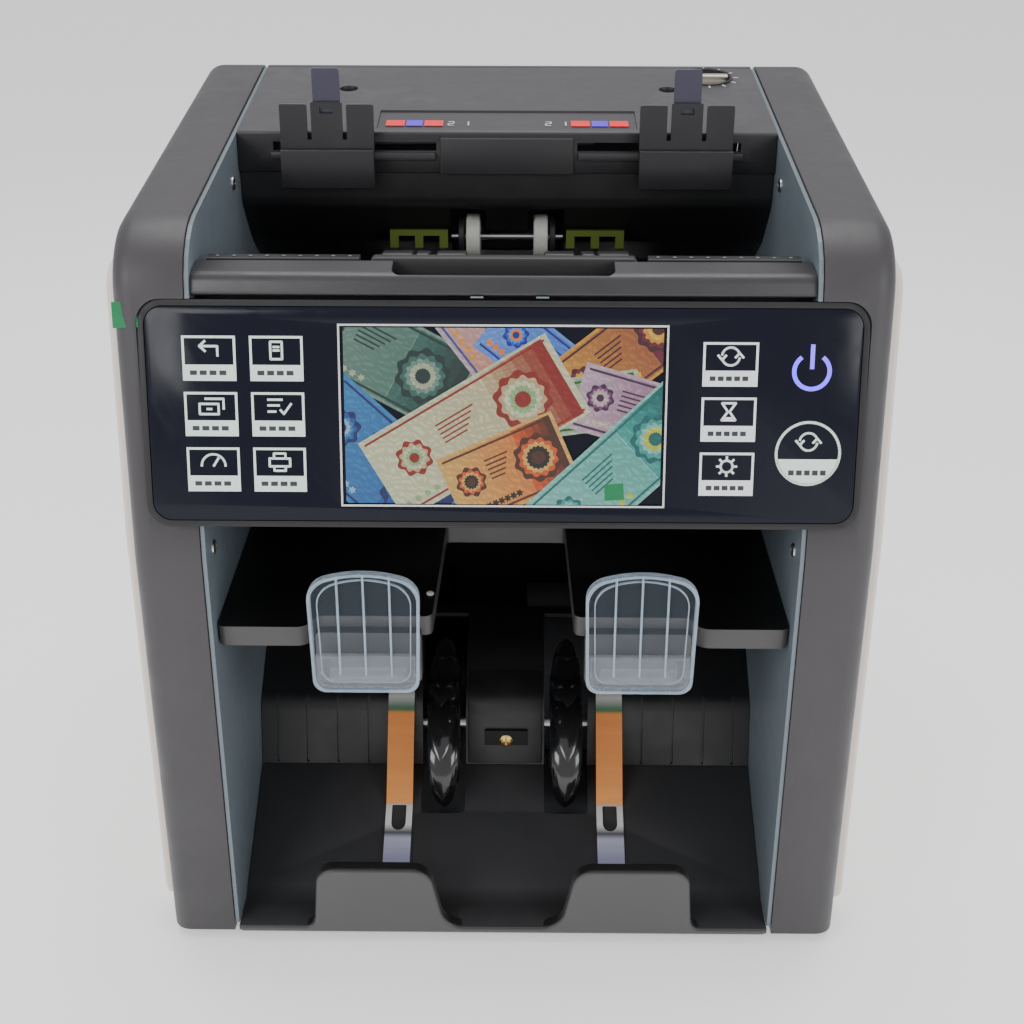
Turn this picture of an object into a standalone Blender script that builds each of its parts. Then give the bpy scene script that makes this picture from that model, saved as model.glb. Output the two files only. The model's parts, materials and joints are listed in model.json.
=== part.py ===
"""Two-pocket banknote counting machine, modelled as separate parts. Metres, +Z up, front towards -Y.

Every part is placed in the machine's own frame, an empty whose Y runs back from the front plane of the
side frames and whose Z rises from their lower edge. The empty stands so that the world's origin is under
the middle of the machine, on the surface that its feet rest on.
"""

import math

import bmesh
import bpy
from mathutils import Matrix, Vector

for old in list(bpy.data.objects):
    bpy.data.objects.remove(old, do_unlink=True)

# Machine frame
FRONT_Y = -0.1203          # world Y of the front plane
FOOT_HEIGHT = 0.004        # lower edge of the side frames above the table
GAP = 0.0003               # clearance between parts that touch

# Widths, all from the middle plane
INNER_HALF = 0.1075        # inner faces of the lining plates
PLATE_OUTER = 0.1090       # outer faces of the lining plates
CHEEK_INNER = PLATE_OUTER + GAP
CHEEK_OUTER = 0.1349       # outer faces of the dark side frames
COVER_OUTER = 0.1425       # outer faces of the pale side covers
BETWEEN = INNER_HALF - GAP  # half width of everything that lies between the lining plates

# Side outline: corners as (y, z, corner radius)
FRONT_KNEE = (0.0, 0.168, 0.060)
FRONT_BROW = (0.0112, 0.2834, 0.027)
REAR_BROW = (0.2060, 0.3180, 0.0115)
REAR_KNEE = (0.2443, 0.2350, 0.040)
REAR_FOOT = (0.2443, 0.0, 0.0)
TOP_SLOPE = (REAR_BROW[1] - FRONT_BROW[1]) / (REAR_BROW[0] - FRONT_BROW[0])
SHEET = 0.0024             # wall of the top and rear covers

# Control panel: a slab that leans back on the front of the machine
PANEL_FOOT = (-0.0037, 0.1828)
PANEL_LEAN = math.radians(10.2)
PANEL_HALF = 0.1260
PANEL_HEIGHT = 0.0802
PANEL_DEPTH = 0.0050
PANEL_CORNER = 0.0085
SCREEN_HALF = 0.0572
SCREEN_LOW = 0.0075
SCREEN_HIGH = 0.0722

# Shafts: (y, z) of each axis
FEED_AXIS = (0.1054, 0.2362)
IDLER_AXIS = (0.1310, 0.2560)
DRUM_AXIS = (0.1680, 0.2000)
TRANSPORT_AXIS = (0.1720, 0.1250)
REJECT_AXIS = (0.1040, 0.1720)
STACKER_AXIS = (0.0786, 0.0506)
MOTOR_AXIS = (0.1900, 0.0600)
SHAFT_RADIUS = 0.0025
BELT_X = (-0.1240, -0.1150)   # the belt's two edges, beside the left lining plate
BELT_THICKNESS = 0.0016
belt_low, belt_high = BELT_X
PULLEY = {"feed": 0.0120, "drum": 0.0140, "motor": 0.0090, "stacker": 0.0160}

# Stacking wheels
WHEEL_X = 0.0267
WHEEL_WIDTH = 0.0140
STACKER_RADIUS = 0.0375
REJECT_RADIUS = 0.0300
SLOT_HALF = 0.0095         # half width of the slots that the wheels reach through

# Finishes: base colour, roughness, metallic, alpha
FINISHES = {
    "dark_shell": ((0.065, 0.062, 0.066), 0.55, 0.0, 1.0),
    "pale_shell": ((0.72, 0.66, 0.60), 0.50, 0.0, 1.0),
    "blue_steel": ((0.20, 0.28, 0.33), 0.45, 0.1, 1.0),
    "black_plastic": ((0.022, 0.022, 0.024), 0.45, 0.0, 1.0),
    "black_glass": ((0.006, 0.007, 0.012), 0.08, 0.0, 1.0),
    "screen": ((0.10, 0.20, 0.24), 0.20, 0.0, 1.0),
    "smoke_clear": ((0.05, 0.05, 0.07), 0.15, 0.0, 0.75),
    "clear_plastic": ((0.75, 0.82, 0.88), 0.08, 0.0, 0.35),
    "chrome": ((0.80, 0.80, 0.80), 0.08, 1.0, 1.0),
    "steel": ((0.55, 0.55, 0.56), 0.30, 1.0, 1.0),
    "zinc_sheet": ((0.45, 0.46, 0.47), 0.45, 0.9, 1.0),
    "rubber": ((0.10, 0.10, 0.10), 0.80, 0.0, 1.0),
    "green_pad": ((0.45, 0.55, 0.08), 0.60, 0.0, 1.0),
    "circuit_board": ((0.03, 0.18, 0.08), 0.50, 0.0, 1.0),
}

parts = bpy.data.collections.new("banknote_counter")
cutters = bpy.data.collections.new("cutters")
bpy.context.scene.collection.children.link(parts)
bpy.context.scene.collection.children.link(cutters)

machine = bpy.data.objects.new("machine_frame", None)
machine.location = (0.0, FRONT_Y, FOOT_HEIGHT)
parts.objects.link(machine)
panel = bpy.data.objects.new("panel_plane", None)
panel.parent = machine
panel.location = (0.0, *PANEL_FOOT)
panel.rotation_euler = (-PANEL_LEAN, 0.0, 0.0)
parts.objects.link(panel)

# An outline's plane: columns send its two axes and its normal into the machine frame
ALONG_X = Matrix(((0, 0, 1, 0), (1, 0, 0, 0), (0, 1, 0, 0), (0, 0, 0, 1)))
ALONG_Y = Matrix(((1, 0, 0, 0), (0, 0, -1, 0), (0, 1, 0, 0), (0, 0, 0, 1)))
ALONG_Z = Matrix.Identity(4)


def add(name, mesh, finish=None, parent=machine):
    """An object on a mesh: a part when it has a finish, otherwise a hidden shaping piece."""
    obj = bpy.data.objects.new(name, mesh)
    obj.parent = parent
    if finish is None:
        cutters.objects.link(obj)
        obj.hide_render = True
        obj.display_type = "WIRE"
        return obj
    parts.objects.link(obj)
    colour, roughness, metallic, alpha = FINISHES[finish]
    material = bpy.data.materials.new(name)
    material.use_nodes = True
    shader = material.node_tree.nodes["Principled BSDF"]
    shader.inputs["Base Color"].default_value = (*colour, 1.0)
    shader.inputs["Roughness"].default_value = roughness
    shader.inputs["Metallic"].default_value = metallic
    shader.inputs["Alpha"].default_value = alpha
    mesh.materials.append(material)
    return obj


def rounded(corners, steps=5):
    """The outline through corners (a, b, radius), each with a radius turned into an arc of equal steps."""
    outline = []
    count = len(corners)
    for i, (a, b, radius) in enumerate(corners):
        here = Vector((a, b))
        if radius == 0.0:
            outline.append(here)
            continue
        before = (Vector(corners[i - 1][:2]) - here).normalized()
        after = (Vector(corners[(i + 1) % count][:2]) - here).normalized()
        half = before.angle(after) / 2
        centre = here + (before + after).normalized() * (radius / math.sin(half))
        start = here + before * (radius / math.tan(half)) - centre
        turn = start.angle_signed(here + after * (radius / math.tan(half)) - centre)
        for k in range(steps + 1):
            outline.append(centre + Matrix.Rotation(-turn * k / steps, 2) @ start)
    return outline


def rounded_path(corners, steps=5):
    """An open line through corners, with the inner ones rounded."""
    ends = [(*corners[0][:2], 0.0), *corners[1:-1], (*corners[-1][:2], 0.0)]
    return rounded(ends, steps)


def offset(path, distance):
    """The open path moved sideways, to the right of its direction, with its corners mitred."""
    moved = []
    for i, point in enumerate(path):
        back = (point - path[max(i - 1, 0)]).normalized() if i else None
        ahead = (path[i + 1] - point).normalized() if i + 1 < len(path) else None
        back, ahead = back or ahead, ahead or back
        along = (back + ahead).normalized()
        side = Vector((along.y, -along.x))
        moved.append(point + side * (distance / along.dot(back)))
    return moved


def band(corners, thickness, steps=5):
    """The outline of a bent sheet: the path through corners, and the same path on its right side."""
    path = rounded_path(corners, steps)
    return path + offset(path, thickness)[::-1]


def prism_mesh(name, outlines, low, high, plane):
    """A flat outline, with any holes, carried from low to high along its plane's normal."""
    curve = bpy.data.curves.new(name, "CURVE")
    curve.dimensions = "2D"
    curve.fill_mode = "BOTH"
    curve.extrude = abs(high - low) / 2
    for outline in outlines:
        spline = curve.splines.new("POLY")
        spline.points.add(len(outline) - 1)
        for point, place in zip(spline.points, outline):
            point.co = (place[0], place[1], 0.0, 1.0)
        spline.use_cyclic_u = True
    holder = bpy.data.objects.new(name, curve)
    bpy.context.scene.collection.objects.link(holder)
    depsgraph = bpy.context.evaluated_depsgraph_get()
    mesh = bpy.data.meshes.new_from_object(holder.evaluated_get(depsgraph))
    bpy.data.objects.remove(holder, do_unlink=True)
    middle = (low + high) / 2 * (-1 if plane is ALONG_Y else 1)
    mesh.transform(plane @ Matrix.Translation((0.0, 0.0, middle)))
    return closed(mesh)


def closed(mesh):
    """Welds a mesh's caps to its sides and turns its faces outwards."""
    bm = bmesh.new()
    bm.from_mesh(mesh)
    bmesh.ops.remove_doubles(bm, verts=bm.verts, dist=0.000001)
    bmesh.ops.recalc_face_normals(bm, faces=bm.faces)
    bm.to_mesh(mesh)
    bm.free()
    mesh.materials.clear()
    return mesh


def prism(name, outline, low, high, plane, finish=None, parent=machine, holes=()):
    """A part or a shaping piece with a constant section."""
    return add(name, prism_mesh(name, [outline, *holes], low, high, plane), finish, parent)


def box(name, low, high, finish=None, parent=machine):
    """A rectangular block between two corners."""
    bm = bmesh.new()
    bmesh.ops.create_cube(bm, size=1.0)
    size = Vector(high) - Vector(low)
    bmesh.ops.scale(bm, vec=size, verts=bm.verts)
    bmesh.ops.translate(bm, vec=Vector(low) + size / 2, verts=bm.verts)
    mesh = bpy.data.meshes.new(name)
    bm.to_mesh(mesh)
    bm.free()
    return add(name, mesh, finish, parent)


def turned(name, profile, axis, finish=None, steps=20):
    """A turned piece on an axis along X. The profile lists (x, radius) from its +X end to its -X end."""
    mesh = bpy.data.meshes.new(name)
    bored = profile[0][1] > 0.0
    edges = [(i, i + 1) for i in range(len(profile) - 1)]
    if bored:
        edges.append((len(profile) - 1, 0))
    mesh.from_pydata([(radius, 0.0, x) for x, radius in profile], edges, [])
    obj = add(name, mesh, finish)
    obj.location = (0.0, *axis)
    obj.rotation_euler = (0.0, math.pi / 2, 0.0)
    screw = obj.modifiers.new("turn", "SCREW")
    screw.axis = "Z"
    screw.steps = steps
    screw.render_steps = steps
    screw.use_merge_vertices = True
    screw.merge_threshold = 0.000001
    return obj


def round_bar(name, x_low, x_high, radius, axis, finish=None, steps=16):
    """A plain cylinder on an axis along X."""
    return turned(name, [(x_high, 0.0), (x_high, radius), (x_low, radius), (x_low, 0.0)], axis, finish, steps)


def shape(obj, tools, operation):
    for tool in tools:
        modifier = obj.modifiers.new(tool.name, "BOOLEAN")
        modifier.operation = operation
        modifier.object = tool
        modifier.solver = "EXACT"


def cut(obj, *tools):
    shape(obj, tools, "DIFFERENCE")


def fuse(obj, *tools):
    shape(obj, tools, "UNION")


def soften(obj, width, segments=2, angle=50.0):
    """Rounds the sharp edges of a part."""
    bevel = obj.modifiers.new("soften", "BEVEL")
    bevel.width = width
    bevel.segments = segments
    bevel.limit_method = "ANGLE"
    bevel.angle_limit = math.radians(angle)
    return bevel


def set_origin(obj, point):
    """Puts a part's origin on its joint's axis, with its shape left where it is."""
    obj.data.transform(Matrix.Translation(-Vector(point)))
    obj.location = point


def top_z(y):
    """Height of the sloping top surface above the lower edge of the side frames."""
    return FRONT_BROW[1] + (y - FRONT_BROW[0]) * TOP_SLOPE


def rectangle(left, right, low, high, radius=0.0, steps=5):
    """A rectangular outline, with rounded corners if they have a radius."""
    return rounded([(left, low, radius), (right, low, radius), (right, high, radius), (left, high, radius)], steps)


# Housing

CHEEK_OUTLINE = [
    (0.0, 0.0, 0.0), FRONT_KNEE, FRONT_BROW, REAR_BROW, REAR_KNEE, REAR_FOOT,
    (0.2300, 0.0, 0.0), (0.2300, 0.2320, 0.030), (0.2002, 0.2970, 0.008),
    (0.0310, 0.2671, 0.010), (0.0196, 0.168, 0.060), (0.0196, 0.0, 0.0),
]
COVER_OUTLINE = [
    (0.0200, 0.0026, 0.001), (0.0200, 0.168, 0.060), (0.0314, 0.2666, 0.0096),
    (0.1998, 0.2965, 0.0076), (0.2296, 0.2315, 0.0296), (0.2296, 0.0026, 0.001),
]
LINING_OUTLINE = [
    (0.0008, 0.0027, 0.001), (0.0008, 0.168, 0.060), (0.0118, 0.2826, 0.0262), (0.2050, 0.3168, 0.0105),
    (0.2434, 0.2348, 0.0392), (0.2434, 0.0027, 0.001),
]


def panel_cutter(name):
    """The space that the control panel takes out of the side frames and lining plates."""
    grown = PANEL_HALF + GAP
    outline = rectangle(-grown, grown, -GAP, PANEL_HEIGHT + GAP, PANEL_CORNER + GAP)
    return prism(name, outline, -0.010, PANEL_DEPTH + GAP, ALONG_Y, parent=panel)


panel_space = panel_cutter("panel_space")
shaft_axes = (FEED_AXIS, DRUM_AXIS, TRANSPORT_AXIS, REJECT_AXIS, STACKER_AXIS)
for side, sign in (("left", -1), ("right", 1)):
    inner, outer = sorted((sign * CHEEK_INNER, sign * CHEEK_OUTER))
    cheek = prism(f"side_frame_{side}", rounded(CHEEK_OUTLINE), inner, outer, ALONG_X, "dark_shell")
    cut(cheek, panel_space)

    low, high = sorted((sign * INNER_HALF, sign * PLATE_OUTER))
    holes = [
        [(y + 0.0028 * math.cos(t * math.pi / 6), z + 0.0028 * math.sin(t * math.pi / 6)) for t in range(12)]
        for y, z in shaft_axes + ((MOTOR_AXIS,) if side == "left" else ())
    ]
    lining = prism(f"lining_plate_{side}", rounded(LINING_OUTLINE), low, high, ALONG_X, "blue_steel", holes=holes)
    cut(lining, panel_space)

    low, high = sorted((sign * CHEEK_INNER, sign * COVER_OUTER))
    cover = prism(f"side_cover_{side}", rounded(COVER_OUTLINE), low, high, ALONG_X, "pale_shell")
    pocket = [(y + (0.0026 if y < 0.1 else -0.0026), z + (0.0026 if z < 0.1 else -0.0026), r)
              for y, z, r in COVER_OUTLINE]
    low, high = sorted((sign * 0.1, sign * (COVER_OUTER - 0.003)))
    cut(cover, prism(f"pocket_{side}", rounded(pocket), low, high, ALONG_X))

box("base_plate", (-BETWEEN, 0.0215, 0.0003), (BETWEEN, 0.2380, 0.0023), "zinc_sheet")
for row, y in (("front", 0.034), ("rear", 0.214)):
    for side, x in (("left", -0.090), ("right", 0.090)):
        bm = bmesh.new()
        bmesh.ops.create_cone(bm, cap_ends=True, segments=20, radius1=0.0070, radius2=0.0085, depth=0.004)
        foot = bpy.data.meshes.new("foot")
        bm.to_mesh(foot)
        bm.free()
        add(f"foot_{row}_{side}", foot, "rubber").location = (x, y, -0.002)

# Top cover with the slots of the note guides, the knob's hole and two screw holes
cover_front = 0.1140
top_cover = prism(
    "top_cover",
    band([(cover_front, 0.2856, 0.0), (cover_front, top_z(cover_front), 0.0015), (0.1960, top_z(0.1960), 0.0)], SHEET),
    -BETWEEN, BETWEEN, ALONG_X, "dark_shell",
)
GUIDE_SLOT = (0.0280, 0.0930, 0.2940, 0.2975)   # inner and outer X, low and high Z
KNOB_PLACE = (0.0862, 0.1830)
for side, sign in (("left", -1), ("right", 1)):
    inner, outer = sorted((sign * GUIDE_SLOT[0], sign * GUIDE_SLOT[1]))
    cut(top_cover, box(f"guide_slot_{side}", (inner, 0.110, GUIDE_SLOT[2]), (outer, 0.118, GUIDE_SLOT[3])))


def hole_in_top(name, x, y, radius, depth=0.012):
    """A round cutter square to the sloping top."""
    bm = bmesh.new()
    bmesh.ops.create_cone(bm, cap_ends=True, segments=24, radius1=radius, radius2=radius, depth=depth)
    mesh = bpy.data.meshes.new(name)
    bm.to_mesh(mesh)
    bm.free()
    hole = add(name, mesh)
    hole.location = (x, y, top_z(y))
    hole.rotation_euler = (math.atan(TOP_SLOPE), 0.0, 0.0)
    return hole


cut(top_cover, hole_in_top("knob_hole", *KNOB_PLACE, 0.0104))
for side, sign in (("left", -1), ("right", 1)):
    cut(top_cover, hole_in_top(f"screw_hole_{side}", sign * 0.068, 0.1665, 0.0039))

rear_cover = prism(
    "rear_cover",
    band([(0.1964, top_z(0.1964), 0.0), REAR_BROW, REAR_KNEE, (REAR_FOOT[0], 0.0026, 0.0)], SHEET),
    -BETWEEN, BETWEEN, ALONG_X, "dark_shell",
)
INLET = (-0.0850, -0.0290, 0.0200, 0.0480)      # left, right, low and high of the power inlet's opening
cut(rear_cover, box("inlet_opening", (INLET[0], 0.230, INLET[2]), (INLET[1], 0.250, INLET[3])))
vents = [rectangle(-0.060 + 0.010 * i, -0.055 + 0.010 * i, 0.150, 0.185, 0.0024, 3) for i in range(13)]
for i, vent in enumerate(vents):
    cut(rear_cover, prism(f"vent_{i}", vent, 0.230, 0.250, ALONG_Y))

# Hopper
cap = prism(
    "hopper_cap",
    rounded([(0.0112, 0.2627, 0.0012), (0.0135, 0.2700, 0.005), (0.0256, 0.2722, 0.0012),
             (0.0256, 0.2540, 0.0), (0.0185, 0.2540, 0.0), (0.0185, 0.2627, 0.0)]),
    -BETWEEN, BETWEEN, ALONG_X, "dark_shell",
)
finger_outline = [(-0.0410, 0.0300, 0.0), (-0.0385, 0.0185, 0.003), (0.0385, 0.0185, 0.003), (0.0410, 0.0300, 0.0)]
cut(cap, prism("finger_recess", rounded(finger_outline), 0.2675, 0.2800, ALONG_Z))

hopper_floor = prism(
    "hopper_floor", band([(0.0268, 0.2682, 0.0), (0.1380, 0.2320, 0.0)], 0.002),
    -BETWEEN, BETWEEN, ALONG_X, "black_plastic",
)
for side, sign in (("left", -1), ("right", 1)):
    inner, outer = sorted((sign * 0.0170, sign * 0.0530))
    cut(hopper_floor, box(f"feed_window_{side}", (inner, 0.0870, 0.225), (outer, 0.1240, 0.260)))

hopper_back = prism(
    "hopper_back",
    band([(0.1163, 0.2850, 0.0), (0.1163, 0.2725, 0.008), (0.1330, 0.2539, 0.025), (0.1520, 0.2415, 0.0)], -0.002),
    -BETWEEN, BETWEEN, ALONG_X, "black_plastic",
)
window = [(-0.0235, 0.2470), (0.0235, 0.2470), (0.0235, 0.2700), (0.0085, 0.2700), (0.0085, 0.2592),
          (-0.0085, 0.2592), (-0.0085, 0.2700), (-0.0235, 0.2700)]
cut(hopper_back, prism("idler_window", window, 0.105, 0.160, ALONG_Y))
for side, sign in (("left", -1), ("right", 1)):
    teeth = [(0.0245, 0.2526), (0.0280, 0.2526), (0.0280, 0.2576), (0.0348, 0.2576), (0.0348, 0.2526),
             (0.0382, 0.2526), (0.0382, 0.2576), (0.0450, 0.2576), (0.0450, 0.2526), (0.0485, 0.2526),
             (0.0485, 0.2600), (0.0245, 0.2600)]
    comb = [(sign * x, z) for x, z in teeth]
    prism(f"separation_comb_{side}", comb, 0.1240, 0.1262, ALONG_Y, "green_pad")

# Control panel, in the plane of its front face: X, depth behind the face, height up the face
panel_housing = prism(
    "panel_housing", rectangle(-PANEL_HALF, PANEL_HALF, 0.0, PANEL_HEIGHT, PANEL_CORNER), 0.0, PANEL_DEPTH,
    ALONG_Y, "black_plastic", panel,
    [rectangle(-SCREEN_HALF - 0.0004, SCREEN_HALF + 0.0004, SCREEN_LOW - 0.0004, SCREEN_HIGH + 0.0004)],
)
glass_seat = rectangle(-0.1240, 0.1240, 0.0020, PANEL_HEIGHT - 0.0020, 0.0070)
cut(panel_housing, prism("glass_seat", glass_seat, -0.002, 0.0018, ALONG_Y, parent=panel))
prism(
    "panel_glass", rectangle(-0.1237, 0.1237, 0.0023, PANEL_HEIGHT - 0.0023, 0.0067), 0.0001, 0.0015,
    ALONG_Y, "black_glass", panel,
    [rectangle(-SCREEN_HALF - 0.0003, SCREEN_HALF + 0.0003, SCREEN_LOW - 0.0003, SCREEN_HIGH + 0.0003)],
)
box("display", (-SCREEN_HALF, 0.0004, SCREEN_LOW), (SCREEN_HALF, 0.0066, SCREEN_HIGH), "screen", panel)
box("main_board", (-0.0980, 0.0110, 0.0060), (0.0980, 0.0126, 0.0700), "circuit_board", panel)


# Reject pocket: a shelf with a slot down its middle, and a clear stopper on each side of the slot
SHELF_FRONT = (0.0060, 0.1372)
SHELF_SLOPE = math.radians(4.35)
SHELF_THICKNESS = 0.0084
shelf_outline = rounded([
    (-BETWEEN, 0.0, 0.003), (-0.0717, 0.0, 0.006), (-0.0717, 0.0080, 0.004), (-0.0270, 0.0080, 0.003),
    (-0.0250, 0.0800, 0.002), (0.0250, 0.0800, 0.002), (0.0270, 0.0080, 0.003), (0.0717, 0.0080, 0.004),
    (0.0717, 0.0, 0.006), (BETWEEN, 0.0, 0.003), (BETWEEN, 0.0850, 0.0), (-BETWEEN, 0.0850, 0.0),
], 4)
shelf = prism("reject_shelf", shelf_outline, -SHELF_THICKNESS, 0.0, ALONG_Z, "black_plastic")
shelf.location = (0.0, *SHELF_FRONT)
shelf.rotation_euler = (SHELF_SLOPE, 0.0, 0.0)

HINGE = (0.0050, 0.1180)       # axis of the stoppers, (y, z)
STOPPER_X = 0.0510
STOPPER_HALF = 0.0208


def circle(radius, steps=12, centre=(0.0, 0.0), start=0.0, turn=2 * math.pi):
    return [(centre[0] + radius * math.cos(start + turn * k / steps),
             centre[1] + radius * math.sin(start + turn * k / steps)) for k in range(steps)]


for side, sign in (("left", -1), ("right", 1)):
    middle = sign * STOPPER_X
    apron = box(f"apron_{side}", (middle - 0.0200, 0.0095, 0.1120), (middle + 0.0200, 0.0160, 0.1330))
    fuse(shelf, apron)
    for end in (-1, 1):
        lug_x = middle + end * 0.0160
        lug = [(0.0110, 0.1145), (0.0110, 0.1215)]
        lug += circle(0.0035, 8, HINGE, math.pi / 2, 9 * math.pi / 8)
        holes = [circle(0.0014, 10, HINGE)]
        name = f"lug_{side}_{'inner' if end * sign < 0 else 'outer'}"
        fuse(shelf, prism(name, lug, lug_x - 0.0014, lug_x + 0.0014, ALONG_X, holes=holes))
    stopper = prism(
        f"stopper_{side}",
        rounded([(middle - STOPPER_HALF + 0.001, 0.1142, 0.005), (middle + STOPPER_HALF - 0.001, 0.1142, 0.005),
                 (middle + STOPPER_HALF, 0.1595, 0.009), (middle, 0.1655, 0.060),
                 (middle - STOPPER_HALF, 0.1595, 0.009)], 5),
        -0.0012, 0.0009, ALONG_Y, "clear_plastic",
    )
    barrel = prism(
        f"barrel_{side}",
        [(0.0005, 0.1160), *circle(0.0026, 8, HINGE, -math.pi / 2, 9 * math.pi / 8), (0.0005, 0.1200)],
        middle - 0.0142, middle + 0.0142, ALONG_X, holes=[circle(0.0014, 10, HINGE)],
    )
    fuse(stopper, barrel)
    for shaping in (stopper, barrel):
        set_origin(shaping, (middle, *HINGE))
    round_bar(f"stopper_pin_{side}", middle - 0.0180, middle + 0.0180, 0.0010, HINGE, "steel", 10)

reject_back = prism(
    "reject_back", band([(0.1080, 0.1960, 0.0), (0.0930, 0.1680, 0.030), (0.0926, 0.1360, 0.0)], -0.0018),
    -BETWEEN, BETWEEN, ALONG_X, "black_plastic",
)
prism("pocket_roof", band([(0.0045, 0.1845, 0.0), (0.0660, 0.1925, 0.0)], 0.0015), -BETWEEN, BETWEEN, ALONG_X,
      "black_plastic")

# Stacker pocket: sloping tray with a raised lip, and the curved wall behind it
tray = prism(
    "stacker_tray", band([(-0.0015, 0.0036, 0.0), (0.0165, 0.0042, 0.018), (0.0690, 0.0347, 0.0)], 0.0024),
    -BETWEEN, BETWEEN, ALONG_X, "dark_shell",
)
lip_half = [(0.0, 0.0036, 0.0), (0.0235, 0.0036, 0.010), (0.0295, 0.0318, 0.009),
            (0.0745, 0.0318, 0.0075), (0.0765, 0.0036, 0.004), (BETWEEN, 0.0036, 0.0)]
lip_outline = [(-x, z, r) for x, z, r in reversed(lip_half[1:])] + lip_half[1:]
lip_outline += [(BETWEEN, 0.0003, 0.0), (-BETWEEN, 0.0003, 0.0)]
fuse(tray, prism("lip", rounded(lip_outline, 6), -0.0020, 0.0045, ALONG_Y))
stacker_back = prism(
    "stacker_back",
    band([(0.1220, 0.0860, 0.0), (0.1000, 0.0792, 0.025), (0.0763, 0.0620, 0.012), (0.0697, 0.0355, 0.0)], -0.0018),
    -BETWEEN, BETWEEN, ALONG_X, "dark_shell",
)
for side, sign in (("left", -1), ("right", 1)):
    inner, outer = sign * WHEEL_X - SLOT_HALF, sign * WHEEL_X + SLOT_HALF
    cut(tray, box(f"tray_slot_{side}", (inner, 0.0490, 0.010), (outer, 0.0720, 0.050)))
    cut(stacker_back, box(f"wall_slot_{side}", (inner, 0.0600, 0.025), (outer, 0.1175, 0.0950)))
    cut(reject_back, box(f"reject_slot_{side}", (inner, 0.0800, 0.1400), (outer, 0.1120, 0.2000)))
    strip = band([(0.0800, 0.0672, 0.0), (0.0745, 0.0603, 0.004), (0.0520, 0.0262, 0.006), (0.0150, 0.0052, 0.0)],
                 -0.0005)
    middle = sign * 0.0455
    prism(f"note_strip_{side}", strip, middle - 0.0057, middle + 0.0057, ALONG_X, "chrome")


# Moving parts

def vane_outline(radius, vanes, root=0.55, sweep=0.75, thickness=0.0011):
    """A wheel of swept vanes: each vane's edge turns steadily as its radius grows from the root to the tip."""
    outline = []
    for i in range(vanes):
        first = 2 * math.pi * i / vanes
        for k in range(5):
            r = radius * (root + (1 - root) * k / 4)
            outline.append((r, first + sweep * k / 4))
        for k in range(4, -1, -1):
            r = radius * (root + (1 - root) * k / 4) * (0.995 if k == 4 else 1.0)
            outline.append((r, first + sweep * k / 4 + (thickness + 0.002 * (1 - k / 4)) / r))
    return [(r * math.cos(a), r * math.sin(a)) for r, a in outline]


def stacking_wheel(name, axis, middle, radius, vanes):
    hole = [(0.0028 * math.cos(2 * math.pi * k / 12), 0.0028 * math.sin(2 * math.pi * k / 12)) for k in range(12)]
    wheel = prism(name, vane_outline(radius, vanes), middle - WHEEL_WIDTH / 2, middle + WHEEL_WIDTH / 2,
                  ALONG_X, "rubber", holes=[hole])
    wheel.location = (0.0, *axis)
    return wheel


def stepped(*steps):
    """Turned profile from (x_high, x_low, radius) steps, listed from the +X end."""
    profile = [(steps[0][0], 0.0)]
    for high, low, radius in steps:
        profile += [(high, radius), (low, radius)]
    return profile + [(steps[-1][1], 0.0)]


def driven_shaft(name, axis, pulley_radius, finish="steel"):
    return turned(name, stepped((0.1112, belt_high, SHAFT_RADIUS), (belt_high, belt_low, pulley_radius)),
                  axis, finish)


def hull_of_circles(circles, grow, steps=8):
    """The outline of a belt round convexly placed pulleys (y, z, radius), listed anticlockwise."""
    outline = []
    count = len(circles)
    for i, (y, z, r) in enumerate(circles):
        angles = []
        for (ya, za, ra), (yb, zb, rb) in ((circles[i - 1], circles[i]), (circles[i], circles[(i + 1) % count])):
            along = math.atan2(zb - za, yb - ya)
            lean = math.asin((ra - rb) / math.hypot(yb - ya, zb - za))
            angles.append(along - math.pi / 2 + lean)
        turn = (angles[1] - angles[0]) % (2 * math.pi)
        for k in range(steps + 1):
            a = angles[0] + turn * k / steps
            outline.append((y + (r + grow) * math.cos(a), z + (r + grow) * math.sin(a)))
    return outline


def run_distance(place, a, b):
    """Distance from a shaft to the belt's straight run between two pulleys, on the pulleys' side."""
    (ya, za, ra), (yb, zb, rb) = a, b
    along = math.atan2(zb - za, yb - ya)
    lean = math.asin((ra - rb) / math.hypot(yb - ya, zb - za))
    angle = along - math.pi / 2 + lean
    return (ya - place[0]) * math.cos(angle) + (za - place[1]) * math.sin(angle) + ra


PULLEYS = [(*STACKER_AXIS, PULLEY["stacker"]), (*MOTOR_AXIS, PULLEY["motor"]),
           (*DRUM_AXIS, PULLEY["drum"]), (*FEED_AXIS, PULLEY["feed"])]
TRANSPORT_PULLEY = run_distance(TRANSPORT_AXIS, PULLEYS[1], PULLEYS[2])
REJECT_PULLEY = run_distance(REJECT_AXIS, PULLEYS[3], PULLEYS[0])

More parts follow.
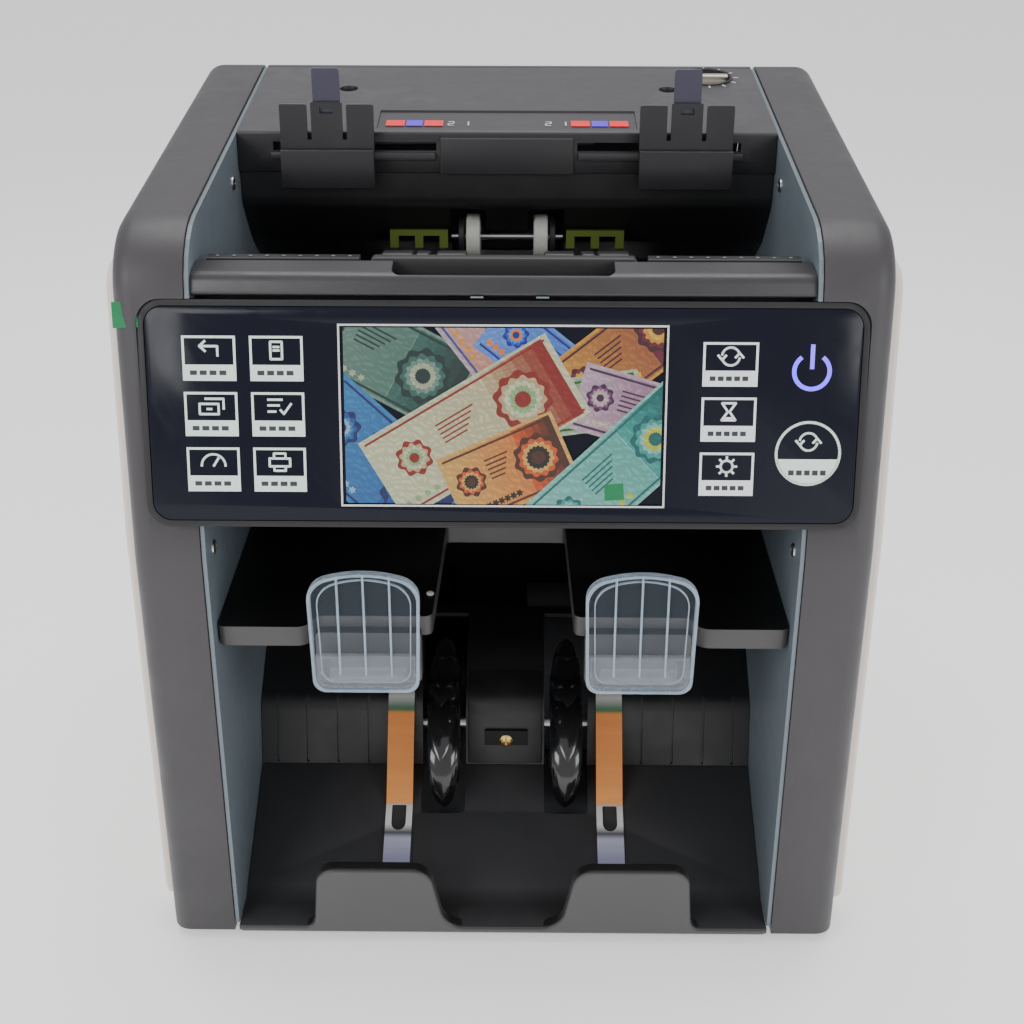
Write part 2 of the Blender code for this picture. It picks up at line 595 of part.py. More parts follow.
driven_shaft("stacker_shaft", STACKER_AXIS, PULLEY["stacker"])
driven_shaft("reject_shaft", REJECT_AXIS, REJECT_PULLEY)
driven_shaft("feed_shaft", FEED_AXIS, PULLEY["feed"])
for side, sign in (("left", -1), ("right", 1)):
    stacking_wheel(f"stacker_wheel_{side}", STACKER_AXIS, sign * WHEEL_X, STACKER_RADIUS, 10)
    stacking_wheel(f"reject_wheel_{side}", REJECT_AXIS, sign * WHEEL_X, REJECT_RADIUS, 8)
    bore = SHAFT_RADIUS + GAP
    roller = [(0.0170, bore), (0.0170, 0.0145), (0.0050, 0.0145), (0.0050, 0.0110), (0.0030, 0.0110),
              (0.0030, 0.0138), (-0.0015, 0.0138), (-0.0015, 0.0110), (-0.0040, 0.0110), (-0.0040, 0.0145),
              (-0.0170, 0.0145), (-0.0170, bore)]
    if sign < 0:
        roller = [(-x, r) for x, r in reversed(roller)]
    turned(f"feed_roller_{side}", [(x + sign * 0.0350, r) for x, r in roller], FEED_AXIS, "rubber", 24)

turned("transport_drum", stepped(
    (0.1112, 0.0420, SHAFT_RADIUS), (0.0420, 0.0130, 0.0200), (0.0130, -0.0130, 0.0060),
    (-0.0130, -0.0420, 0.0200), (-0.0420, belt_high, SHAFT_RADIUS), (belt_high, belt_low, PULLEY["drum"])),
    DRUM_AXIS, "rubber", 24)
turned("transport_roller", stepped(
    (0.1112, 0.0400, SHAFT_RADIUS), (0.0400, 0.0200, 0.0140), (0.0200, -0.0200, 0.0050),
    (-0.0200, -0.0400, 0.0140), (-0.0400, belt_high, SHAFT_RADIUS), (belt_high, belt_low, TRANSPORT_PULLEY)),
    TRANSPORT_AXIS, "rubber", 24)
turned("motor_pulley", stepped((-0.1005, belt_high, SHAFT_RADIUS), (belt_high, belt_low, PULLEY["motor"])),
       MOTOR_AXIS, "steel")
turned("drive_motor", stepped((-0.0500, -0.1000, 0.0210)), MOTOR_AXIS, "zinc_sheet", 24)
prism("drive_belt", hull_of_circles(PULLEYS, GAP + BELT_THICKNESS), belt_low, belt_high, ALONG_X, "rubber",
      holes=[hull_of_circles(PULLEYS, GAP)])

# Idler rollers in the hopper's back wall
round_bar("idler_shaft", -0.0232, 0.0232, 0.0015, IDLER_AXIS, "steel", 12)
for side, sign in (("left", -1), ("right", 1)):
    ring = [(0.0046, 0.0018), (0.0046, 0.0080), (0.0014, 0.0080), (0.0014, 0.0086), (-0.0046, 0.0086),
            (-0.0046, 0.0018)]
    if sign < 0:
        ring = [(-x, r) for x, r in reversed(ring)]
    turned(f"idler_roller_{side}", [(x + sign * 0.0155, r) for x, r in ring], IDLER_AXIS, "chrome", 28)

# Note guides: a finned plate in front of the slot, joined through it to a toothed rack behind
GUIDE_X = 0.0706
GUIDE_HALF = 0.0184
RACK_PITCH = 0.0025
PINION_TEETH = 12
PINION_RADIUS = RACK_PITCH * PINION_TEETH / (2 * math.pi)
PINION_AXIS = (0.0, 0.2900)     # (x, z) of the pinion, which turns about Y
TOOTH = 0.0006


def rack_outline(first, last, edge, back, teeth_from, teeth):
    """A rack's outline in X and Z: its teeth stand on the line z = edge, away from back."""
    out = math.copysign(TOOTH, edge - back)
    outline = [(first, back), (last, back), (last, edge - out)]
    teeth_line = []
    for i in range(teeth):
        x = teeth_from + RACK_PITCH * i
        teeth_line += [(x - 0.0008, edge - out), (x - 0.0003, edge + out), (x + 0.0003, edge + out),
                       (x + 0.0008, edge - out)]
    return outline + teeth_line[::-1] + [(first, edge - out)]


for side, sign in (("left", -1), ("right", 1)):
    middle = sign * GUIDE_X
    fins = [(middle - GUIDE_HALF, 0.2805), (middle + GUIDE_HALF, 0.2805)]
    fin_edges = (GUIDE_HALF, GUIDE_HALF - 0.0106, GUIDE_HALF - 0.0123)
    crown = [(fin_edges[0], 0.3127), (fin_edges[1], 0.3127), (fin_edges[1], 0.2990), (fin_edges[2], 0.2990),
             (fin_edges[2], 0.3135), (0.0054, 0.3135), (0.0054, 0.3260), (-0.0054, 0.3260), (-0.0054, 0.3135),
             (-fin_edges[2], 0.3135), (-fin_edges[2], 0.2990), (-fin_edges[1], 0.2990), (-fin_edges[1], 0.3127),
             (-fin_edges[0], 0.3127)]
    guide = prism(f"note_guide_{side}", fins + [(middle + x, z) for x, z in crown], 0.1090, 0.1112, ALONG_Y,
                  "smoke_clear")
    foot = box(f"guide_foot_{side}", (middle - GUIDE_HALF, 0.1055, 0.2805), (middle + GUIDE_HALF, 0.1100, 0.2955))
    stem = box(f"guide_stem_{side}", (middle - 0.0090, 0.1100, 0.2946), (middle + 0.0090, 0.1215, 0.2969))
    fuse(guide, foot, stem)
    if sign < 0:
        rack = rack_outline(-0.0800, 0.0350, PINION_AXIS[1] + PINION_RADIUS, 0.2985, -11 * RACK_PITCH, 15)
    else:
        rack = rack_outline(-0.0350, 0.0800, PINION_AXIS[1] - PINION_RADIUS, 0.2815, -3 * RACK_PITCH, 15)
    prism(f"guide_rack_{side}", rack, 0.1222, 0.1252, ALONG_Y, "black_plastic")

teeth = []
for i in range(PINION_TEETH):
    middle = math.pi / 2 + 2 * math.pi * (i + 0.5) / PINION_TEETH
    for width, r in ((-0.00085, -TOOTH), (-0.0003, TOOTH), (0.0003, TOOTH), (0.00085, -TOOTH)):
        teeth.append((PINION_RADIUS + r, middle + width / PINION_RADIUS))
pinion_outline = [(r * math.cos(a), r * math.sin(a)) for r, a in teeth]
pinion = prism("guide_pinion", pinion_outline, -0.0014, 0.0014, ALONG_Y, "black_plastic")
pinion.location = (PINION_AXIS[0], 0.1237, PINION_AXIS[1])

# Feed gap knob in the top cover
KNOB_SINK = 0.0040             # middle of the knob below the top surface
bm = bmesh.new()
bmesh.ops.create_cone(bm, cap_ends=True, segments=28, radius1=0.0098, radius2=0.0098, depth=0.0060)
knob_mesh = bpy.data.meshes.new("gap_knob")
bm.to_mesh(knob_mesh)
bm.free()
knob = add("gap_knob", knob_mesh, "steel")
grip = box("knob_grip", (-0.0088, -0.0016, 0.0), (0.0088, 0.0016, 0.0058))
fuse(knob, grip)
for piece in (knob, grip):
    lean = math.atan(TOP_SLOPE)
    piece.location = (KNOB_PLACE[0], KNOB_PLACE[1] + KNOB_SINK * math.sin(lean),
                      top_z(KNOB_PLACE[1]) - KNOB_SINK * math.cos(lean))
    piece.rotation_euler = (lean, 0.0, 0.0)

# Gate that sends a note to the stacker or to the reject pocket
GATE_AXIS = (0.1320, 0.1500)
gate = prism("diverter_gate", [(0.0, 0.0025), (-0.0030, 0.0), (0.0, -0.0025), (0.0200, -0.0004), (0.0200, 0.0004)],
             -0.0900, 0.0900, ALONG_X, "black_plastic")
gate.location = (0.0, *GATE_AXIS)

# Power inlet with its rocker switch, and the power supply
rear_inner = REAR_FOOT[0] - SHEET
inlet = box("power_inlet", (INLET[0] + 0.0004, rear_inner - 0.0220, INLET[2] + 0.0004),
            (INLET[1] - 0.0004, REAR_FOOT[0] + 0.0004, INLET[3] - 0.0004), "black_plastic")
cut(inlet, box("socket_recess", (-0.0820, rear_inner - 0.0160, 0.0260), (-0.0580, 0.260, 0.0420)))
cut(inlet, box("switch_recess", (-0.0520, rear_inner - 0.0120, 0.0235), (-0.0330, 0.260, 0.0445)))
rocker = prism(
    "power_rocker", [(-0.0080, -0.0090), (-0.0080, 0.0090), (0.0018, 0.0090), (0.0, 0.0), (0.0018, -0.0090)],
    -0.0088, 0.0088, ALONG_X, "black_plastic",
)
rocker.location = (-0.0425, REAR_FOOT[0] - 0.0022, 0.0340)
rocker.rotation_euler = (math.radians(-8.0), 0.0, 0.0)
box("power_supply", (0.0100, 0.1300, 0.0030), (0.1000, 0.2280, 0.0450), "zinc_sheet")
bpy.context.view_layer.update()
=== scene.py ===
"""Looks of the two-pocket banknote counter: surfaces, finishes, marks, light and camera. Metres, +Z up."""

import json
import math

import bmesh
import bpy
import numpy as np
from mathutils import Matrix, Vector


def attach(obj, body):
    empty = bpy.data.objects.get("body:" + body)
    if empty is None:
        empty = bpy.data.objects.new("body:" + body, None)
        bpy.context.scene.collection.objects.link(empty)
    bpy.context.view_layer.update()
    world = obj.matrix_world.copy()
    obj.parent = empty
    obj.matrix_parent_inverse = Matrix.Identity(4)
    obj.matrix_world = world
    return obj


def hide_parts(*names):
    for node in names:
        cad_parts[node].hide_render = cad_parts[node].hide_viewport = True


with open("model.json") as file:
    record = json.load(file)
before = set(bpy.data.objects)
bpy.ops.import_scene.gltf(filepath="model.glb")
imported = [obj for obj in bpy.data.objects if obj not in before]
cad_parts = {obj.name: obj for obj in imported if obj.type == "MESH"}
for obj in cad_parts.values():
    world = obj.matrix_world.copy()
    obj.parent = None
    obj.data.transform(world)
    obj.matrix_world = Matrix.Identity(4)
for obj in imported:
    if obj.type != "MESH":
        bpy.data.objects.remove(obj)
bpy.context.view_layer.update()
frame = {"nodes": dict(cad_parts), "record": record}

MM = 0.001

# The machine's own frame: Y runs back from the front plane, Z up from the frames' lower edge
FRONT_Y = -0.1203
FOOT = 0.004
# The control panel's plane: X, depth behind the face, height up the face
PANEL_FOOT = (FRONT_Y - 0.0037, FOOT + 0.1828)
PANEL_LEAN = math.radians(10.2)
# The sloping top: its height at its front edge, and its rise for each millimetre towards the back
TOP_FRONT = (11.2, 283.4)
TOP_SLOPE = 0.17762
# Half the space between the linings; then the middles of wheels, stoppers and feed rollers, and axes
INNER = 107.2
WHEEL_X = 26.7
WHEEL_SLOT = 9.5
STOPPER_X = 51
FEED_X = 35
FEED_AXIS = (105.4, 236.2)
IDLER_AXIS = (131, 256)
SHAFT = 2.6
HINGE = (5.0, 118.0)
SHARP_EDGE = math.radians(35)
MERGE = 1e-7


# -------- shapes

def outline_of(corners, steps=10):
    """Corners (a, b, radius) in millimetres to an outline in metres; a radius becomes an even arc."""
    pieces = []
    count = len(corners)
    for i, (a, b, radius) in enumerate(corners):
        here = np.array((a, b), float)
        if radius == 0:
            pieces.append(here[None])
            continue
        before = np.array(corners[i - 1][:2], float) - here
        after = np.array(corners[(i + 1) % count][:2], float) - here
        before /= np.linalg.norm(before)
        after /= np.linalg.norm(after)
        half = math.acos(np.clip(before @ after, -1, 1)) / 2
        middle = (before + after) / np.linalg.norm(before + after)
        centre = here + middle * radius / math.sin(half)
        start = here + before * radius / math.tan(half) - centre
        end = here + after * radius / math.tan(half) - centre
        turn = math.atan2(start[0] * end[1] - start[1] * end[0], start @ end)
        t = turn * np.linspace(0, 1, steps + 1)
        pieces.append(centre + np.stack([start[0] * np.cos(t) - start[1] * np.sin(t),
            start[0] * np.sin(t) + start[1] * np.cos(t)], 1))
    return np.concatenate(pieces) * MM


def path_of(corners, steps=10):
    """An open line through corners, its inner ones rounded."""
    return outline_of([(*corners[0][:2], 0), *corners[1:-1], (*corners[-1][:2], 0)], steps)


def band(corners, thickness, steps=10):
    """A bent sheet's section: a path, and the path moved right along the mean of its edges' normals."""
    path = path_of(corners, steps)
    edge = np.diff(path, axis=0)
    edge /= np.linalg.norm(edge, axis=1, keepdims=True)
    back = np.concatenate([edge[:1], edge])
    along = back + np.concatenate([edge, edge[-1:]])
    along /= np.linalg.norm(along, axis=1, keepdims=True)
    side = np.stack([along[:, 1], -along[:, 0]], 1)
    moved = path + side * (thickness * MM / np.sum(along * back, axis=1))[:, None]
    return np.concatenate([path, moved[::-1]])


def about(middle, half):
    """An interval by its middle and half its length."""
    return middle - half, middle + half


def across(side, near, far):
    """An interval of X given as distances from the middle, put on its side and in rising order."""
    return sorted((side * near, side * far))


def rectangle(left, right, low, high, radius=0.0, steps=8):
    return outline_of([(left, low, radius), (right, low, radius), (right, high, radius),
        (left, high, radius)], steps)


def turns(steps):
    return 2 * np.pi * np.arange(steps) / steps


def circle(x, y, radius, steps):
    t = turns(steps)
    return np.stack([x + radius * np.cos(t), y + radius * np.sin(t)], 1) * MM


def top_z(y):
    return TOP_FRONT[1] + (y - TOP_FRONT[0]) * TOP_SLOPE


def place(points, plane):
    """Sends (a, b, depth) points into the world: side = section along X, face = seen from the front,
    top = seen from above, cover = lifted from the sloping top, panel = on the control panel's plane."""
    a, b, d = points[..., 0], points[..., 1], points[..., 2]
    if plane == "side":
        return np.stack([d, a + FRONT_Y, b + FOOT], -1)
    if plane == "face":
        return np.stack([a, d + FRONT_Y, b + FOOT], -1)
    if plane == "top":
        return np.stack([a, b + FRONT_Y, d + FOOT], -1)
    if plane == "cover":
        return np.stack([a, b + FRONT_Y, d + top_z(b / MM) * MM + FOOT], -1)
    c, s = math.cos(PANEL_LEAN), math.sin(PANEL_LEAN)
    return np.stack([a, PANEL_FOOT[0] + d * c + b * s, PANEL_FOOT[1] - d * s + b * c], -1)


def layers(rows, plane):
    """Rings in the world from (outline in metres, depth in millimetres) rows on a plane."""
    return place(np.stack([np.column_stack([outline, np.full(len(outline), d * MM)]) for outline,
        d in rows]), plane)


def rings_mesh(rings, capped=True):
    """A mesh through rings, an array of rows by points by 3, closed at both ends with a face."""
    rows, columns = rings.shape[:2]
    r, c = np.meshgrid(np.arange(rows - 1), np.arange(columns), indexing="ij")
    n = (c + 1) % columns
    quads = np.stack([r * columns + c, r * columns + n, (r + 1) * columns + n, (r + 1) * columns + c], -1)
    faces = quads.reshape(-1, 4).tolist()
    if capped:
        faces.append(list(range(columns))[::-1])
        faces.append(list(range((rows - 1) * columns, rows * columns)))
    mesh = bpy.data.meshes.new("rings")
    mesh.from_pydata(rings.reshape(-1, 3).tolist(), [], faces)
    bm = bmesh.new()
    bm.from_mesh(mesh)
    bmesh.ops.remove_doubles(bm, verts=bm.verts, dist=MERGE)
    bmesh.ops.recalc_face_normals(bm, faces=bm.faces)
    bm.to_mesh(mesh)
    bm.free()
    return mesh


def section_mesh(section, low, high, plane):
    """A constant section carried from low to high, in millimetres, along its plane's normal."""
    return rings_mesh(layers([(section, low), (section, high)], plane))


def band_mesh(corners, thickness, steps=10, low=-INNER, high=INNER):
    """A bent sheet that spans the machine's inside, or from low to high."""
    return section_mesh(band(corners, thickness, steps), low, high, "side")


def hoop_mesh(outer, inner, low, high):
    """A ring between two outlines with the same number of points, standing in the front plane."""
    rows = [(outer, low), (outer, high), (inner, high), (inner, low), (outer, low)]
    return rings_mesh(layers(rows, "face"), capped=False)


def turned_mesh(profile, x, axis, steps=64):
    """A profile of (along, radius) in millimetres turned about an axis along X through (y, z)."""
    t = turns(steps)
    along, radius = np.array(profile, float).T * MM
    rings = np.stack([np.repeat(along[:, None] + x * MM, steps, 1), axis[0] * MM + FRONT_Y
        + radius[:, None] * np.cos(t), axis[1] * MM + FOOT + radius[:, None] * np.sin(t)], -1)
    return rings_mesh(rings, capped=profile[0][1] > 0 and profile[0] != profile[-1])


def lathe_mesh(profile, steps, capped=True):
    """A profile of (height, radius) in millimetres turned about Z; a radius may differ at each step."""
    t = turns(steps)
    rings = [np.column_stack([r * np.cos(t), r * np.sin(t), np.full(steps, h)]) for h, r in profile]
    return rings_mesh(np.array(rings) * MM, capped)


def carried(mesh, x, y, z, degrees, axis):
    """A mesh turned about the frame's X axis, swung about an axis and taken to (x, y, z) millimetres."""
    swung = Matrix.Rotation(math.radians(degrees), 4, axis) @ Matrix.Translation((0, -FRONT_Y, -FOOT))
    mesh.transform(Matrix.Translation((x * MM, y * MM + FRONT_Y, z * MM + FOOT)) @ swung)
    return mesh


def on_cover(mesh, x, y):
    """A mesh made about Z, set square to the sloping top at (x, y) millimetres."""
    mesh.transform(Matrix.Translation((x * MM, y * MM + FRONT_Y, top_z(y) * MM + FOOT))
                   @ Matrix.Rotation(math.atan(TOP_SLOPE), 4, "X"))
    return mesh


def flat_mesh(shapes, depth, plane="panel"):
    """Flat outlines in metres lying side by side at a depth in millimetres, one face each."""
    points = []
    faces = []
    for outline in shapes:
        faces.append(list(range(len(points), len(points) + len(outline))))
        points += layers([(outline, depth)], plane)[0].tolist()
    mesh = bpy.data.meshes.new("flat")
    mesh.from_pydata(points, [], faces)
    return mesh


def ribbon(points, width):
    """Quads of one width along a line of points in millimetres, a quarter width longer at both ends."""
    p = np.array(points, float)
    edge = np.diff(p, axis=0)
    edge /= np.linalg.norm(edge, axis=1, keepdims=True)
    side = np.stack([-edge[:, 1], edge[:, 0]], 1) * width / 2
    ahead = edge * width * 0.25
    return list(np.stack([p[:-1] - side - ahead, p[1:] - side + ahead, p[1:] + side + ahead,
        p[:-1] + side - ahead], 1))


def arc(x, y, radius, start, end, steps=14):
    """Points of an arc, angles in degrees."""
    t = np.radians(np.linspace(start, end, steps))
    return np.stack([x + radius * np.cos(t), y + radius * np.sin(t)], 1).tolist()


def closed(points):
    return [*points, points[0]]


def linked(name, data):
    obj = bpy.data.objects.new(name, data)
    bpy.context.scene.collection.objects.link(obj)
    return obj


def tool(section, low, high, plane):
    """A shaping prism for a Boolean, removed again once it is applied."""
    return linked("tool", section_mesh(section, low, high, plane))


def cross_tools(a, b, reach, thin, low, high, plane):
    """Two crossed bars for a screw's recess at (a, b)."""
    return [tool(rectangle(*about(a, p), *about(b, q)), low, high, plane) for p,
        q in ((reach, thin), (thin, reach))]


def piece(name, mesh, material, slot, body="root", instead="", cuts=(), joins=(), bevel=0.0, segments=3,
        smooth=32.0):
    """A finished piece: joined, cut, edges rounded, smooth shaded up to an angle, riding on a body."""
    obj = linked(name, mesh)
    for operation, helpers in (("UNION", joins), ("DIFFERENCE", cuts)):
        for helper in helpers:
            modifier = obj.modifiers.new("shape", "BOOLEAN")
            modifier.operation = operation
            modifier.object = helper
            modifier.solver = "EXACT"
    if bevel:
        modifier = obj.modifiers.new("edges", "BEVEL")
        modifier.width = bevel * MM
        modifier.segments = segments
        modifier.limit_method = "ANGLE"
        modifier.angle_limit = SHARP_EDGE
    if obj.modifiers:
        bpy.context.view_layer.update()
        done = bpy.data.meshes.new_from_object(obj.evaluated_get(bpy.context.evaluated_depsgraph_get()))
        obj.modifiers.clear()
        obj.data = done
        for helper in (*cuts, *joins):
            bpy.data.objects.remove(helper, do_unlink=True)
    obj.data.name = name
    obj.data.shade_smooth()
    obj.data.set_sharp_from_angle(angle=math.radians(smooth))
    obj.data.materials.clear()
    obj.data.materials.append(material)
    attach(obj, body)
    if instead:
        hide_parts(instead)
    return obj


def prism(name, section, low, high, plane, material, slot, body="root", **finish):
    return piece(name, section_mesh(section, low, high, plane), material, slot, body, **finish)


def both_sides(make):
    """Calls make with -1, "left" and then 1, "right"."""
    make(-1, "left")
    make(1, "right")


# -------- finishes

def fill(tree, shader_node, inputs):
    """Sets a node's inputs; a value that is a socket is linked."""
    for key, value in inputs.items():
        socket = shader_node.inputs[key]
        if isinstance(value, bpy.types.NodeSocket):
            tree.links.new(value, socket)
        else:
            socket.default_value = value


def node(tree, kind, inputs, **settings):
    made = tree.nodes.new("ShaderNode" + kind)
    for key, value in settings.items():
        setattr(made, key, value)
    fill(tree, made, inputs)
    return made


def math_node(tree, operation, a, b=0.0):
    return node(tree, "Math", {0: a, 1: b}, operation=operation).outputs[0]


def swing(tree, value, amount):
    """A 0 to 1 value taken round zero, times an amount."""
    return math_node(tree, "MULTIPLY", math_node(tree, "SUBTRACT", value, 0.5), amount)


def effect(name, inputs, outputs):
    """An empty shader node group with named sockets; gives its tree, its inputs and its output node."""
    tree = bpy.data.node_groups.new(name, "ShaderNodeTree")
    for side, sockets in (("INPUT", inputs), ("OUTPUT", outputs)):
        for label, kind in sockets.items():
            tree.interface.new_socket(label, in_out=side, socket_type="NodeSocket" + kind)
    return tree, tree.nodes.new("NodeGroupInput").outputs, tree.nodes.new("NodeGroupOutput")


def spark_texture():
    """Moulded plastic: fine spark-eroded grain, slow mottling of tone, and faint handling marks."""
    tree, given, out = effect("spark_texture", {"Place": "Vector", "Grain": "Float", "Mottle": "Float"},
        {"Height": "Float", "Tone": "Float", "Sheen": "Float"})
    place_in = given["Place"]
    fine = node(tree, "TexNoise", {"Vector": place_in, "Scale": given["Grain"], "Detail": 3.0,
        "Roughness": 0.6})
    slow = node(tree, "TexNoise", {"Vector": place_in, "Scale": 14.0, "Detail": 4.0})
    marks = node(tree, "TexNoise", {"Vector": place_in, "Scale": 60.0, "Detail": 6.0, "Distortion": 1.2})
    mottled = math_node(tree, "ADD", swing(tree, slow.outputs["Fac"], given["Mottle"]),
        swing(tree, fine.outputs["Fac"], 0.35))
    fill(tree, out, {"Height": fine.outputs["Fac"], "Tone": math_node(tree, "ADD", mottled, 1.0),
        "Sheen": swing(tree, marks.outputs["Fac"], 0.3)})
    return tree


def drawn_lines():
    """Metal drawn or turned along X: noise stretched across the lines, as height and sheen."""
    tree, given, out = effect("drawn_lines", {"Place": "Vector", "Lines": "Float"},
        {"Height": "Float", "Sheen": "Float"})
    squeezed = node(tree, "Mapping", {"Vector": given["Place"], "Scale": (0.04, 1.0, 1.0)}).outputs[0]
    lines = node(tree, "TexNoise", {"Vector": squeezed, "Scale": given["Lines"],
        "Detail": 4.0}).outputs["Fac"]
    fill(tree, out, {"Height": lines, "Sheen": swing(tree, lines, 0.25)})
    return tree


SPARK = spark_texture()
DRAWN = drawn_lines()


def start_material(name):
    """A new material: itself, its tree, its shader and Object coordinates."""
    material = bpy.data.materials.new(name)
    material.use_nodes = True
    tree = material.node_tree
    where = tree.nodes.new("ShaderNodeTexCoord").outputs["Object"]
    return material, tree, tree.nodes["Principled BSDF"], where


def scaled(tree, colour, level):
    return node(tree, "VectorMath", {0: colour, "Scale": level}, operation="SCALE").outputs[0]


def moulded(name, colour, rough, mottle, bump, grain=2600.0, coat=0.0, alpha=1.0, glow=0.0, specular=0.5,
        top_shade=1.0, handling=1.0):
    """A plastic, rubber or paint: colour under the spark texture, its grain as bump. top_shade scales the
    colour of faces that look up, painted shade where it is below one and painted light where it is above
    one; handling is the share of the handling marks."""
    material, tree, shader, where = start_material(name)
    texture = node(tree, "Group", {"Place": where, "Grain": grain, "Mottle": mottle},
        node_tree=SPARK).outputs
    tone = texture["Tone"]
    if top_shade != 1.0:
        # Painted light and shade by facing: faces that look up get their colour scaled towards top_shade
        normal = tree.nodes.new("ShaderNodeNewGeometry").outputs["Normal"]
        facing = node(tree, "SeparateXYZ", {0: normal}).outputs["Z"]
        shade = node(tree, "MapRange", {"Value": facing, "From Min": 0.15, "From Max": 0.8, "To Min": 1.0,
            "To Max": top_shade}).outputs[0]
        tone = math_node(tree, "MULTIPLY", tone, shade)
    raised = node(tree, "Bump", {"Strength": bump, "Distance": 0.0002, "Height": texture["Height"]})
    fill(tree, shader, {"Base Color": scaled(tree, colour, tone), "Roughness": math_node(tree, "ADD",
        math_node(tree, "MULTIPLY", texture["Sheen"], handling), rough), "Normal": raised.outputs[0],
        "Coat Weight": coat, "Coat Roughness": 0.05, "Alpha": alpha, "Specular IOR Level": specular})
    if glow:
        fill(tree, shader, {"Emission Color": (*colour, 1.0), "Emission Strength": glow})
    return material


def metal(name, colour, rough, lines=900.0, bump=0.12):
    """A metal with drawn or turned lines in its sheen and relief."""
    material, tree, shader, where = start_material(name)
    texture = node(tree, "Group", {"Place": where, "Lines": lines}, node_tree=DRAWN).outputs
    raised = node(tree, "Bump", {"Strength": bump, "Distance": 0.0001, "Height": texture["Height"]})
    fill(tree, shader, {"Base Color": (*colour, 1.0), "Metallic": 1.0, "Normal": raised.outputs[0],
        "Roughness": math_node(tree, "ADD", texture["Sheen"], rough)})
    return material


# Each plastic: name, colour, roughness, mottle, bump and then what differs from a plain one
DARK_SHELL = moulded("dark_shell_grain", (0.045, 0.0415, 0.0445), 0.46, 0.2, 0.35)
TRAY_SHELL = moulded("tray_grain", (0.030, 0.030, 0.032), 0.5, 0.2, 0.35)
PALE_SHELL = moulded("pale_cover_satin", (0.78, 0.70, 0.62), 0.45, 0.06, 0.12)
LINING = moulded("blue_grey_paint", (0.145, 0.178, 0.203), 0.42, 0.1, 0.15, 1500.0)
BLACK = moulded("satin_black", (0.009, 0.009, 0.010), 0.42, 0.25, 0.2)
WHEEL = moulded("glossy_vane", (0.012, 0.012, 0.013), 0.16, 0.2, 0.05, 700.0, coat=0.6)
RUBBER = moulded("ground_rubber", (0.055, 0.055, 0.056), 0.75, 0.3, 0.6, 1800.0)
ROLLER = moulded("grey_feed_rubber", (0.20, 0.20, 0.20), 0.7, 0.3, 0.5, 1800.0)
COMB = moulded("green_comb", (0.085, 0.115, 0.008), 0.55, 0.15, 0.15)
BOARD = moulded("solder_mask_green", (0.02, 0.13, 0.06), 0.4, 0.5, 0.3, 500.0)
GLASS = moulded("black_touch_glass", (0.0045, 0.0055, 0.013), 0.16, 0.3, 0.0, 300.0, specular=0.22)
SMOKE = moulded("smoked_clear", (0.016, 0.0155, 0.018), 0.34, 0.15, 0.03, 1200.0)
FINGER = moulded("violet_smoke", (0.046, 0.042, 0.076), 0.3, 0.15, 0.03, 1200.0, alpha=0.95)
CLEAR = moulded("clear_stopper", (0.45, 0.55, 0.65), 0.07, 0.05, 0.0, 300.0, alpha=0.04, specular=0.12,
    handling=0.1)
# Rims, seam, ribs and barrel of the clear stoppers: a paler, more opaque blue-white, a painted highlight on
# their edges
CLEAR_EDGE = moulded("clear_stopper_edge_painted_highlight", (0.55, 0.68, 0.80), 0.12, 0.05, 0.0, 300.0, alpha=0.36,
    handling=0.2)
# Stopper foot: a greyer, more opaque tone, painted light for the shelf's edge seen through the clear plastic
CLEAR_FOOT = moulded("clear_stopper_foot_painted_light", (0.30, 0.32, 0.37), 0.15, 0.1, 0.0, 300.0, alpha=0.30,
    handling=0.2)
PRINT = moulded("pale_key_print", (0.62, 0.72, 0.66), 0.4, 0.1, 0.0, 900.0, glow=0.25)
PRINT_WHITE = moulded("white_key_print", (0.68, 0.70, 0.71), 0.4, 0.1, 0.0, 900.0, glow=0.25)
PRINT_DARK = moulded("dark_key_print", (0.03, 0.035, 0.04), 0.4, 0.1, 0.0, 900.0)
VIOLET = moulded("violet_light", (0.16, 0.09, 0.85), 0.3, 0.1, 0.0, 900.0, glow=1.6)
RED_TAB = moulded("red_lens", (0.80, 0.006, 0.012), 0.35, 0.1, 0.0, 600.0, glow=0.35)
VIOLET_TAB = moulded("violet_lens", (0.09, 0.02, 0.70), 0.35, 0.1, 0.0, 600.0, glow=0.35)
FILM = moulded("green_film_tab", (0.0, 0.17, 0.055), 0.4, 0.3, 0.1, 600.0)
WHITE_MARK = moulded("white_mark", (0.60, 0.60, 0.60), 0.5, 0.1, 0.0, 900.0)
# Lip: faces that look up are painted darker than its front face, a painted shade on its top
LIP_SHELL = moulded("lip_grain_painted_top_shade", (0.072, 0.069, 0.071), 0.42, 0.15, 0.3, top_shade=0.2)
WALL_SHELL = moulded("pocket_wall_grain", (0.011, 0.011, 0.012), 0.36, 0.2, 0.25)
# Shelf: faces that look up are painted almost black, a painted shade on its top, so only its front edges
# show grey
SHELF_SHELL = moulded("shelf_grain_painted_top_shade", (0.055, 0.052, 0.051), 0.40, 0.15, 0.3, top_shade=0.06)
# Lid: a darker colour whose up-facing faces are painted 2.6 times lighter, painted light on its top and
# painted shade on its front face
LID_SHELL = moulded("lid_grain_painted_top_light", (0.019, 0.018, 0.020), 0.46, 0.15, 0.3, top_shade=2.6)
